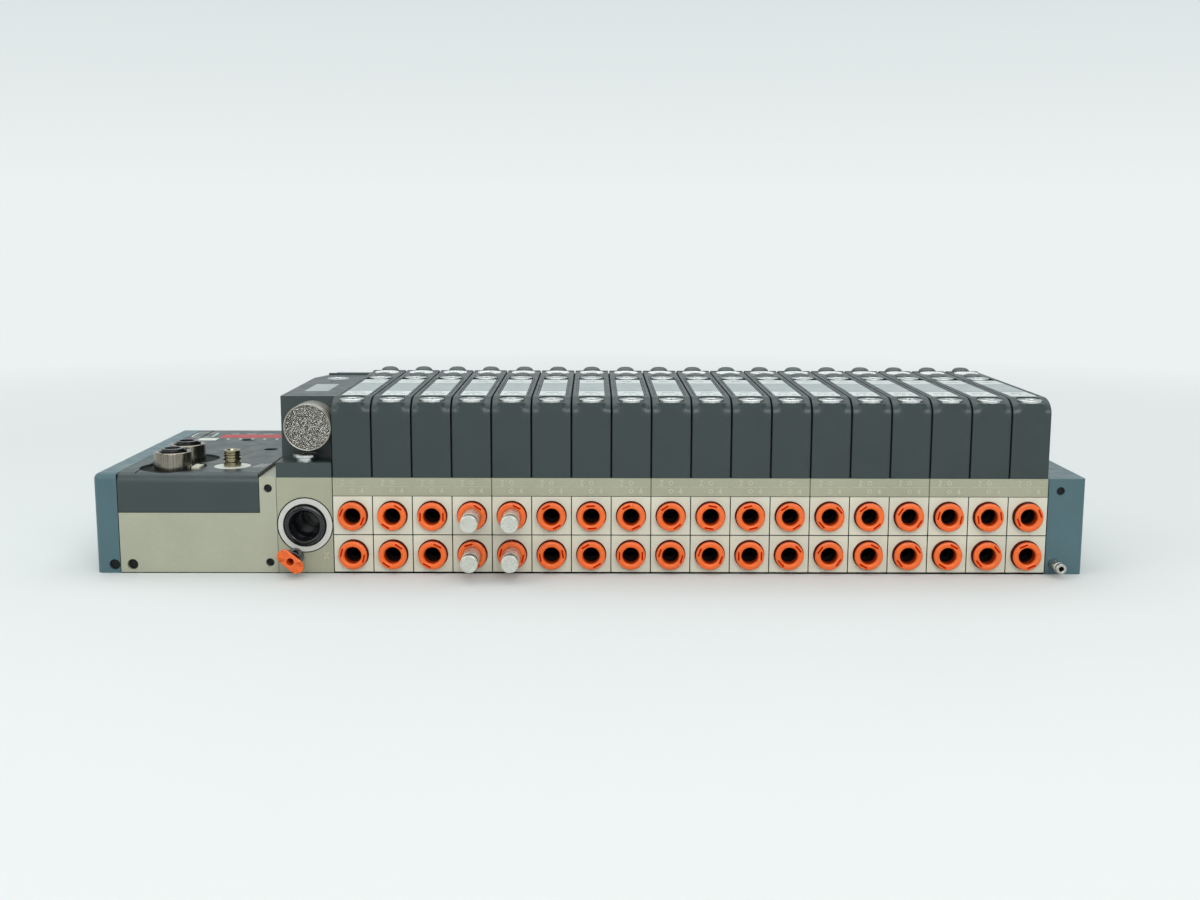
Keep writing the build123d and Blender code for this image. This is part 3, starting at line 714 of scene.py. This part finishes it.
SCREW_FRONT = screw_mesh(1.45, 5.3, 1.35)
SCREW_STEP = screw_mesh(3.3, 4.1, 1.35)
SCREW_REAR = screw_mesh(0.95, 5.3)
SCREW_TOP = {"front": VALVE_TOP - 0.6 * MM, "rear": VALVE_TOP}
STEP_TOP = 54.3 * MM
for n, x in enumerate(STATION_X, start=1):
    for row, mesh in (("front", SCREW_FRONT), ("rear", SCREW_REAR)):
        place = at(x, SCREW_Y[row], SCREW_TOP[row])
        angle = random.uniform(0, math.pi)
        add_screw(f"screw_{row}_{n:02d}", mesh, place, angle)
add_screw("screw_front_exhaust", SCREW_STEP, at(SUPPLY_X, SCREW_Y["front"], STEP_TOP), 0.4)
rear_top = exhaust_high.z - 0.75 * MM
add_screw("screw_rear_exhaust", SCREW_REAR, at(SUPPLY_X, SCREW_Y["rear"], rear_top), 0.4)
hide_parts("module_screws")


# ---- Label plates --------------------------------------------------------------------------------
def label_mesh():
    """A label plate: pale ends, a grey printed field with fine rules, and small index marks."""
    bm = bmesh.new()
    low = (-6 * MM, label_low.y, label_low.z)
    high = (6 * MM, label_high.y, label_high.z)
    plate(bm, low, high, bevel=0.15 * MM)
    top = label_high.z

    def flat(x, y, width, height, rise, material, sink=0.0):
        """A print on the plate's top, in mm from its front left corner."""
        plate(
            bm, (x * MM, y * MM, top - sink * MM),
            ((x + width) * MM, (y + height) * MM, top + rise * MM), material=material,
        )

    flat(-5.9, -38.5, 11.8, 33.5, 0.02, 1, sink=0.1)
    for y in (-37.3, -6.0):
        flat(-5.6, y, 11.2, 0.5, 0.035, 2)
    for k in range(5):
        flat(-4.6, -32.5 + 5.2 * k, 8.5 - 1.3 * (k % 3), 0.35, 0.03, 3)
    for x, y, width in (
        (-4.2, -50.5, 1.6), (-0.9, -50.5, 1.2), (2.2, -50.5, 2.0), (-3.2, -44.5, 5.6),
        (-2.6, 3.0, 4.6),
    ):
        flat(x, y, width, 1.5, 0.03, 3)
    return mesh_from(bm, "label")


LABEL = label_mesh()
LABEL_KEYS = ["label_pale", "label_grey", "ink", "label_print"]
for n, x in enumerate(STATION_X, start=1):
    piece = add_mesh(f"label_{n:02d}", LABEL, LABEL_KEYS, at(x, 0, 0))
    if n == 1:
        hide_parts("valve_labels")


# ---- Overrides and the bright discs between them -------------------------------------------------
def override_mesh(rise):
    """A domed push button with a slightly dished crown and a near-black bar for its slot, painted
    shade.
    """
    bm = bmesh.new()
    dome = [
        (4.65, 0.08), (4.5, 0.28), (4.1, 0.53), (3.5, 0.75), (2.9, 0.91), (2.45, 0.985),
        (2.15, 1.0), (1.95, 0.93), (0, 0.9),
    ]
    stem = mm((0, -4), (4.5, -4), (4.65, -3.8))
    lathe(bm, stem + [(r * MM, share * rise) for r, share in dome], 40, close=False)
    # The slot is a near-black bar through the crown: painted shade
    low, high = (-1.8 * MM, -0.3 * MM, 0.6 * rise), (1.8 * MM, 0.3 * MM, 0.915 * rise)
    plate(bm, low, high, material=1)
    return mesh_from(bm, "override", 50)


def lens_mesh():
    """A frosted disc with a raised rim and a ribbed face."""
    bm = bmesh.new()
    lathe(bm, mm(
        (0, 0.85), (4.6, 0.85), (4.8, 1.05), (5.6, 1.2), (6.0, 1.15), (6.25, 0.9), (6.25, 0),
        (0, 0),
    ), 48, close=False)
    for k in range(-3, 4):
        x = k * 1.15 * MM
        half = math.sqrt((4.4 * MM) ** 2 - x ** 2)
        low, high = (x - 0.3 * MM, -half, 0.8 * MM), (x + 0.3 * MM, half, 1.0 * MM)
        plate(bm, low, high, bevel=0.08 * MM)
    return mesh_from(bm, "lens", 40)


OVERRIDES = {"front": override_mesh(1.1 * MM), "rear": override_mesh(2.0 * MM)}
OVERRIDE_RISE = 2 * MM
LENS = lens_mesh()
for n, x in enumerate(STATION_X, start=1):
    for row in ("front", "rear"):
        name = f"override_{row}_{n:02d}"
        low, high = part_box(name)
        place = at((low.x + high.x) / 2, (low.y + high.y) / 2, high.z - OVERRIDE_RISE)
        piece = add_mesh(
            f"button_{row}_{n:02d}", OVERRIDES[row], ["button", "recess_shade"],
            place @ turned(random.uniform(-0.5, 0.5)), frame_body(name),
        )
        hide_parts(name)
    piece = add_mesh(f"lens_{n:02d}", LENS, ["lens"], at(x, LENS_Y, lens_low.z))
    if n == 1:
        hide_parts("indicator_lenses")

# ---- Painted shade in the gaps -------------------------------------------------------------------
# Black sheets between the valves, painted shade in the gaps, shaped to their side and a little
# inside it
GAP_SHADE_SIDE = [
    (Y_FRONT + 0.8 * MM, MANIFOLD_TOP), (Y_FRONT + 0.8 * MM, VALVE_TOP - 11.5 * MM),
    (Y_FRONT + 2.6 * MM, VALVE_TOP - 7.8 * MM), (Y_FRONT + 5.8 * MM, VALVE_TOP - 3.7 * MM),
    (Y_FRONT + 10 * MM, VALVE_TOP - 1.2 * MM), (row_high.y - 10 * MM, VALVE_TOP - 1.2 * MM),
    (row_high.y - 4 * MM, VALVE_TOP - 4.4 * MM), (row_high.y - 4 * MM, MANIFOLD_TOP),
]
for n in range(STATIONS):
    bm = bmesh.new()
    x = X_ROW + n * PITCH
    half = (0.19 if n else 0.1) * MM
    left, right = [[bm.verts.new((x + e, y, z)) for y, z in GAP_SHADE_SIDE] for e in (-half, half)]
    bm.faces.new(left)
    bm.faces.new(right[::-1])
    for corners in zip(left, left[1:] + left[:1], right[1:] + right[:1], right):
        bm.faces.new(corners)
    add_mesh(f"gap_gasket_{n:02d}", mesh_from(bm, "gasket", 10), ["rubber"])


# ---- Marks moulded on the strip over the ports ---------------------------------------------------
GLYPHS = {  # strokes on a field from -1 to 1
    "2": [
        ((-0.5, 0.7), (-0.2, 1.0)), ((-0.2, 1.0), (0.3, 1.0)), ((0.3, 1.0), (0.5, 0.6)),
        ((0.5, 0.6), (-0.5, -1.0)), ((-0.5, -1.0), (0.6, -1.0)),
    ],
    "4": [((0.2, -1.0), (0.2, 1.0)), ((0.2, 1.0), (-0.6, -0.4)), ((-0.6, -0.4), (0.6, -0.4))],
    "X": [((-0.6, -1.0), (0.6, 1.0)), ((-0.6, 1.0), (0.6, -1.0))],
}


def write(bm, glyph, x, y, size, width, height):
    """A port's generic mark as raised strokes."""
    for a, b in GLYPHS[glyph]:
        start, end = [(x + px * size, y + py * size) for px, py in (a, b)]
        stroke(bm, start, end, width, height)


def strip_mesh():
    """A station's marks: the numbers of its two ports, a ring beside each and a line between."""
    bm = bmesh.new()
    relief = 0.16 * MM
    for glyph, x, y in (("2", -4.3 * MM, 6.2 * MM), ("4", 4.4 * MM, 2.4 * MM)):
        write(bm, glyph, x, y, 1.1 * MM, 0.38 * MM, relief)
    for y in (6.2 * MM, 2.4 * MM):
        disc_ring(bm, (0, y), 0.65 * MM, 1.05 * MM, -0.05 * MM, relief, 20)
    stroke(bm, (-7.6 * MM, 4.3 * MM), (7.6 * MM, 4.3 * MM), 0.22 * MM, relief * 0.6)
    return mesh_from(bm, "strip_marks", 20)


STRIP = strip_mesh()
STRIP_Z = MANIFOLD_TOP - 8.3 * MM
for n, x in enumerate(STATION_X, start=1):
    place = facing(x, Y_FRONT, STRIP_Z)
    # The marks are lighter than the strip: painted highlight on the relief
    add_mesh(f"strip_marks_{n:02d}", STRIP, ["beige_raised"], place)
bm = bmesh.new()
write(bm, "X", 0, 0, 1.5 * MM, 0.5 * MM, 0.18 * MM)
# The X is the same lighter beige: painted highlight on the relief
add_mesh(
    "supply_mark", mesh_from(bm, "supply_mark", 20), ["beige_raised"],
    facing(SUPPLY_X + 9.3 * MM, Y_FRONT, 8.3 * MM),
)

# A black strip under the blocks, and a thinner one under the head, is painted shade along the base
housing_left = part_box("electronics_housing")[0].x
EDGE = 0.1 * MM
add_boxes("base_gasket", [
    (
        (X_ROW + EDGE, Y_FRONT - 0.05 * MM, 0),
        (base_high.x - EDGE, Y_FRONT + 4 * MM, 0.8 * MM),
    ),
    ((housing_left + EDGE, Y_FRONT - 0.03 * MM, 0), (X_ROW, Y_FRONT + 4 * MM, 0.4 * MM)),
], "rubber")

# Black boxes fill the gaps round the port inserts to their depth: painted shade in the gaps
GAP_HALF, GAP_FRONT, GAP_BACK = 0.2 * MM, Y_FRONT + 0.3 * MM, Y_FRONT + 0.3 * MM + 2 * MM
gaps = []
for n in range(STATIONS + 1):
    x = X_ROW + n * PITCH
    gaps.append((
        (x - GAP_HALF, GAP_FRONT, 0.3 * MM), (x + GAP_HALF, GAP_BACK, insert_high.z),
    ))
for z in ((insert_low.z + insert_high.z) / 2, insert_high.z + 0.1 * MM):
    gaps.append((
        (X_ROW + EDGE, GAP_FRONT, z - GAP_HALF), (base_high.x - EDGE, GAP_BACK, z + GAP_HALF),
    ))
add_boxes("insert_gaps", gaps, "rubber")


# ---- Supply port ---------------------------------------------------------------------------------
def supply_collet_mesh(length):
    """The large black collet: chamfered flange, ribbed throat and two bars."""
    bm = bmesh.new()
    profile = mm(
        (6.15, -9), (6.45, -8.6), (6.45, -6.2), (6.15, -5.8), (6.15, -2.2), (6.5, -1.6),
        (6.9, -1.0), (7.1, -0.2), (7.4, 0), (8.3, 0), (8.85, -0.25), (9.1, -0.8), (9.15, -1.6),
    )
    lathe(bm, [(6.15 * MM, -length)] + profile + [(9.15 * MM, -length)], 64)
    for y in (-7.85, 7.85):
        plate(bm, *mm((-2.4, y - 0.22, -0.3), (2.4, y + 0.22, 0.02)), material=1)
    return mesh_from(bm, "supply_collet", 30)


low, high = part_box("supply_collet")
SUPPLY_Z = (low.z + high.z) / 2
piece = add_mesh(
    "supply_release_collet", supply_collet_mesh(high.y - low.y), ["black", "throat"],
    facing((low.x + high.x) / 2, low.y, SUPPLY_Z) @ turned(math.radians(20)),
    frame_body("supply_collet"),
)
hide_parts("supply_collet")
place = facing(SUPPLY_X, Y_FRONT, SUPPLY_Z)
# A black tube closes the supply bore: dark inner parts, and painted shade deep in the bore
add_black_ring("supply_throat", mm(
    (6.1, -6), (5.6, -10), (5.6, -12), (6.0, -12.5), (6.0, -18), (0, -18),
), 48, "black", place, close=False)
outer_seal = mm((12.3, 0), (12.3, 0.25), (12.75, 0.2), (12.75, 0))
add_black_ring("supply_ring_seal", outer_seal, 64, "rubber", place)
inner_seal = mm((9.2, 0.62), (9.2, 0.2), (9.9, 0.2), (9.9, 0.62))
add_black_ring("supply_inner_seal", inner_seal, 64, "rubber", place)

# ---- Bleed fitting on the right end plate --------------------------------------------------------
r = (bleed_high.x - bleed_low.x) / 2
bm = bmesh.new()
nipple = [(r * share, z * MM) for share, z in (
    (0.5, -1.2), (0.5, -0.15), (0.6, 0), (0.88, 0), (1, -0.3), (1, -2.2), (0.82, -2.5),
    (0.82, -3.4), (1, -3.7),
)]
lathe(bm, nipple + [(r, bleed_low.y - bleed_high.y), (r * 0.5, -12 * MM)], 40)
# The bore is near-black: painted shade in the hole
bore = [(0, -3 * MM), (r * 0.51, -3 * MM), (r * 0.51, -1.2 * MM), (r * 0.5, -1.2 * MM)]
lathe(bm, bore, 24, 1, close=False)
piece = add_mesh(
    "bleed_nipple", mesh_from(bm, "bleed_nipple", 30), ["fitting", "recess_shade"],
    facing((bleed_low.x + bleed_high.x) / 2, bleed_low.y, (bleed_low.z + bleed_high.z) / 2),
)
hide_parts("bleed_fitting")


# ---- Exhaust module ------------------------------------------------------------------------------
def muffler_mesh(radius, length):
    """A turned shell with a bright rim round a disc of coarse sintered grains."""
    bm = bmesh.new()
    rim, neck = radius - 0.5 * MM, radius - 0.35 * MM
    lathe(bm, [
        (rim, -1.2 * MM), (rim, -0.1 * MM), (rim + 0.2 * MM, 0), (radius - 0.2 * MM, 0),
        (radius, -0.25 * MM), (radius, -2.2 * MM), (neck, -2.5 * MM), (neck, -3.0 * MM),
        (radius, -3.3 * MM), (radius, -length), (rim, -length),
    ], 72)
    face = [(0, -0.1), (0.5, -0.16), (0.85, -0.35), (1, -0.6)]
    lathe(bm, [(rim * share, z * MM) for share, z in face], 72, 1, close=False)
    return mesh_from(bm, "muffler", 40)


radius = (muffler_high.z - muffler_low.z) / 2 + 0.35 * MM
middle = (muffler_low + muffler_high) / 2
piece = add_mesh(
    "muffler_body", muffler_mesh(radius, 14 * MM), ["wall", "sinter"],
    facing(middle.x, Y_FRONT, middle.z),
)
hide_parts("exhaust_muffler")

bm = bmesh.new()
low = (SUPPLY_X - 5.6 * MM, -34.3 * MM, VALVE_TOP - 1.15 * MM)
high = (SUPPLY_X + 5.6 * MM, -4.1 * MM, VALVE_TOP - 0.66 * MM)
plate(bm, low, high, bevel=0.12 * MM)
add_mesh("exhaust_label", mesh_from(bm, "exhaust_label"), ["label_grey"])

# ---- Connectors on the electronics head ----------------------------------------------------------
M12_R = 8.45 * MM
M12_X = shell_low.x + M12_R
M12_Y = (shell_low.y + M12_R, -27.3 * MM)
RECESS_Z = COVER_TOP - 1.0 * MM
SHELL_TOP, INSERT_TOP = 53.4 * MM, 54.9 * MM
M8 = Vector((-166.4 * MM, -47.6 * MM, COVER_TOP))


def shell_mesh(height):
    """An M12 shell: a plain turned sleeve with a bevelled rim."""
    bm = bmesh.new()
    rim = mm((6.15, -0.5), (6.4, -0.1), (6.6, 0), (8.0, 0), (8.35, -0.3), (8.45, -0.8), up=height)
    lathe(bm, mm((6.15, 0)) + rim + mm((8.45, 0)), 64)
    return mesh_from(bm, "m12_shell", 30)


def insert_mesh(height):
    """The black M12 insert: a raised crown with a small block, and five sockets.

    The bevel replaces the vertices that the turn is meant for, so it reaches none of them and the
    eight blocks lie on one another at +X.
    """
    bm = bmesh.new()
    crown = mm(
        (0, -1.2), (3.4, -1.2), (3.5, -0.1), (3.7, 0), (4.75, 0), (5.0, -0.25), up=height,
    )
    lathe(bm, crown + mm((5.0, 0), (0, 0)), 48, close=False)
    for k in range(8):
        low, high = mm((4.5, -0.7, -1.6), (5.15, 0.7, -0.35), up=height)
        verts = [v for v in plate(bm, low, high, bevel=0.1 * MM) if v.is_valid]
        block_turn = Matrix.Rotation(math.pi * k / 4 + 0.2, 3, "Z")
        bmesh.ops.rotate(bm, verts=verts, cent=(0, 0, 0), matrix=block_turn)
    for k in range(5):
        a = 2 * math.pi * k / 5
        r = 0 if k == 4 else 2.3 * MM
        centre = (r * math.cos(a), r * math.sin(a))
        low, high = height - 1.25 * MM, height - 1.05 * MM
        disc_ring(bm, centre, 0.42 * MM, 0.62 * MM, low, high, 16, 1)
    return mesh_from(bm, "m12_insert", 30)


def neck_mesh():
    """The M8 neck: a plain foot, a ring groove and a threaded top round a bore whose floor is
    painted near-black as shade.
    """
    bm = bmesh.new()
    profile = [(1.9, 5.2), (2.5, 7.7), (3.4, 7.7)]
    z = 7.5
    while z > 5.2:
        profile += [(4.0, z), (4.0, z - 0.45), (3.45, z - 0.7), (3.45, z - 0.85)]
        z -= 1.1
    profile += [
        (3.3, 4.7), (3.3, 4.2), (4.05, 4.0), (4.05, 3.2), (3.4, 3.0), (3.4, 2.3), (4.0, 2.0),
        (4.0, 0), (1.9, 0),
    ]
    lathe(bm, mm(*profile), 48)
    # Painted shade: the bore's floor is near-black
    lathe(bm, mm((0, 5.7), (2.0, 5.7), (2.0, 5.2), (0, 5.2)), 24, 1, close=False)
    return mesh_from(bm, "m8_neck", 30)


for k, y in enumerate(M12_Y):
    place = at(M12_X, y, RECESS_Z)
    mesh = shell_mesh(SHELL_TOP - RECESS_Z)
    # The shells' strong vertical streaks are partly painted reflections
    shell = add_mesh(f"m12_shell_{k + 1}", mesh, ["nickel"], place)
    mesh = insert_mesh(INSERT_TOP - RECESS_Z)
    core = add_mesh(f"m12_insert_{k + 1}", mesh, ["black", "neck"], place)
    bm = bmesh.new()
    disc_ring(bm, (0, 0), 8.5 * MM, 14.9 * MM, 0.0, 0.04 * MM, 56)
    add_mesh(f"m12_well_{k + 1}", mesh_from(bm, "m12_well"), ["well"], place)
    if k == 0:
        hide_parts("connector_shells")
        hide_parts("connector_inserts")
add_mesh("m8_neck", neck_mesh(), ["neck", "recess_shade"], Matrix.Translation(M8))

# ---- Prints and joints on the cover --------------------------------------------------------------
PRINT_LOW, PRINT_HIGH = COVER_TOP - 0.05 * MM, COVER_TOP + 0.03 * MM


def add_print(name, shapes, key):
    """Flat rectangles on the cover's top, as pairs of corners in mm."""
    return add_boxes(name, [
        ((low[0] * MM, low[1] * MM, PRINT_LOW), (high[0] * MM, high[1] * MM, PRINT_HIGH))
        for low, high in shapes
    ], key)


bm = bmesh.new()
disc_ring(bm, (M8.x, M8.y), 3.6 * MM, 8.3 * MM, PRINT_LOW, PRINT_HIGH, 56)
add_mesh("m8_print", mesh_from(bm, "m8_print"), ["white_print"])
add_print("cover_stripe", [((-196, 40.5), (-156, 52.5))], "red")
add_print(
    "cover_white_prints",
    [
        ((-206.5, 31.5), (-195.6, 39.5)), ((-212.0, 43.0), (-200.4, 43.8)),
        ((-212.0, 57.6), (-200.4, 58.4)), ((-212.0, 43.0), (-211.2, 58.4)),
        ((-201.2, 43.0), (-200.4, 58.4)),
    ]
    + [((-191 + 6.4 * k, 35.2), (-189.6 + 6.4 * k, 37.8)) for k in range(5)]
    + [((x, 54.5), (x + width, 55.3)) for x, width in ((-193, 4), (-185, 5), (-176, 5))],
    "white_print",
)
add_boxes("cover_joints", [
    ((left, Y_FRONT - 0.02 * MM, low * MM), (right, Y_FRONT + 0.5 * MM, high * MM))
    for left, right, low, high in (
        (head_low.x, -149.7 * MM, 27.95, 28.25),
        (-149.75 * MM, -149.45 * MM, 28.0, 45.9),
        (head_low.x - 0.28 * MM, head_low.x + 0.06 * MM, 0.4, 45.6),
    )
], "rubber")
# The groove on the cover is a flat near-black line: painted shade
add_print("cover_groove", [((-206.1, -63.5), (-205.4, 67.5))], "recess_shade")
bm = bmesh.new()
for k in range(3):
    start, end = mm((-156.0 + 1.9 * k, -50.5), (-153.6 + 1.9 * k, -41.5))
    stroke(bm, start, end, 0.5 * MM, 0.03 * MM)
ticks = mesh_from(bm, "cover_ticks")
add_mesh("cover_ticks", ticks, ["white_print"], at(0, 0, COVER_TOP))
bm = bmesh.new()
for left, front, right, back, rise, bevel, material in (
    (-184.4, -52, -180.6, -44, 0.4, 0.2, 0), (-182.4, -46.5, -180.9, -44.3, 0.5, 0.1, 1),
):
    low = (left * MM, front * MM, RECESS_Z)
    high = (right * MM, back * MM, COVER_TOP + rise * MM)
    plate(bm, low, high, bevel * MM, material)
add_mesh("recess_tab", mesh_from(bm, "recess_tab"), ["ivory", "black"])

# ---- Lights --------------------------------------------------------------------------------------
LIGHTS = {  # place, target, size, watts, colour
    "key": ((0.3, -1.7, 0.95), (0, 0, 0.03), (1.7, 0.9), 22.5, (1.0, 1.0, 0.985)),
    "fill": ((-1.2, -0.8, 0.9), (0, 0, 0.04), (1.2, 1.0), 5, (0.98, 0.99, 1.0)),
    "top": ((0.0, 0.3, 1.6), (0, 0, 0.05), (2.0, 1.6), 14.5, (0.985, 0.99, 1.0)),
}
for name, (place, target, size, watts, color) in LIGHTS.items():
    data = bpy.data.lights.new(name, "AREA")
    data.shape = "RECTANGLE"
    data.size, data.size_y = size
    data.energy = watts
    data.color = color
    o = bpy.data.objects.new(name, data)
    o.location = place
    o.rotation_euler = (Vector(target) - Vector(place)).to_track_quat("-Z", "Y").to_euler()
    bpy.context.scene.collection.objects.link(o)

# ---- Background and floor ------------------------------------------------------------------------
PALE = srgb(236, 241, 241)
UPPER = srgb(215, 224, 225)
FLOOR_REACH = 8.0
FLOOR_Z = -0.00002  # just under the part, so that no two faces coincide
FADE_START, FADE_END = 0.32, 1.1  # metres from the part's middle


def seen_directly(tree):
    """1 for rays that show the background: the camera's, and those by way of metal and glass."""
    path = add_node(tree, "ShaderNodeLightPath", {})
    total = path.outputs["Is Camera Ray"]
    for kind in ("Is Glossy Ray", "Is Transmission Ray"):
        inputs = {0: total, 1: path.outputs[kind]}
        total = add_node(tree, "ShaderNodeMath", inputs, operation="MAXIMUM").outputs["Value"]
    return total


# The room gives a dim even light; what is seen of it is pale, and a little darker higher up.
world = bpy.data.worlds.new("studio")
bpy.context.scene.world = world
world.use_nodes = True
wt = world.node_tree
sky = wt.nodes["Background"]
coord = add_node(wt, "ShaderNodeTexCoord", {})
axes = add_node(wt, "ShaderNodeSeparateXYZ", {"Vector": coord.outputs["Generated"]})
blend = add_node(wt, "ShaderNodeMix", {
    "A": PALE, "B": UPPER, "Factor": ramp(wt, axes.outputs["Z"], 0.03, 0.19, 0.0, 1.0),
}, data_type="RGBA")
wt.links.new(blend.outputs["Result"], sky.inputs["Color"])
level = add_node(wt, "ShaderNodeMix", {
    "Factor": seen_directly(wt), "A": ramp(wt, axes.outputs["Y"], -0.75, 0.35, 0.28, 0.85),
    "B": 1.0,
})
wt.links.new(level.outputs["Result"], sky.inputs["Strength"])

# The floor is lit round the object, so it keeps the shadow, and runs out into the pale background.
bm = bmesh.new()
rings = [
    [
        bm.verts.new((r * math.cos(a), r * math.sin(a), FLOOR_Z))
        for a in (2 * math.pi * k / 64 for k in range(64))
    ]
    for r in (0.5, 1.5, FLOOR_REACH)
]
bm.faces.new(rings[0])
for a, b in zip(rings, rings[1:]):
    for k in range(64):
        bm.faces.new((a[k], b[k], b[(k + 1) % 64], a[(k + 1) % 64]))
floor = bpy.data.objects.new("floor", mesh_from(bm, "floor"))
bpy.context.scene.collection.objects.link(floor)
floor_mat = Mat("pale_floor", srgb(219, 222, 221), 0.8, spec=0.15)
floor_mat.mottle(floor_mat.noise(3, 4), 0.3, 0.7, 0.985, 1.01)
ft = floor_mat.t
geometry = add_node(ft, "ShaderNodeNewGeometry", {})
away = add_node(ft, "ShaderNodeVectorMath", {0: geometry.outputs["Position"]}, operation="LENGTH")
both = add_node(ft, "ShaderNodeMath", {
    0: ramp(ft, away.outputs["Value"], FADE_START, FADE_END, 0.0, 1.0), 1: seen_directly(ft),
}, operation="MULTIPLY")
glow = add_node(ft, "ShaderNodeEmission", {"Color": PALE, "Strength": 1.0})
join = add_node(ft, "ShaderNodeMixShader", {
    "Fac": both.outputs["Value"], 1: floor_mat.bsdf.outputs["BSDF"], 2: glow.outputs["Emission"],
})
ft.links.new(join.outputs["Shader"], ft.nodes["Material Output"].inputs["Surface"])
floor.data.materials.append(floor_mat.m)
floor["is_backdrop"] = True

# ---- Camera, fitted to the photo -----------------------------------------------------------------
camera = bpy.data.cameras.new("camera")
camera.sensor_width = 36.0
camera.lens = 41.64
camera.clip_start, camera.clip_end = 0.01, 20
CAMERA_PLACE = (0.00125, -0.6849, 0.1548)
PAN, TILT, ROLL = -0.29, 81.0, 0.16  # degrees
cam = bpy.data.objects.new("camera", camera)
bpy.context.scene.collection.objects.link(cam)
cam.matrix_world = (
    at(*CAMERA_PLACE) @ turned(math.radians(PAN))
    @ Matrix.Rotation(math.radians(TILT), 4, "X") @ turned(math.radians(ROLL))
)
bpy.context.scene.camera = cam
bpy.context.scene.view_settings.view_transform = "Standard"

low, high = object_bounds()
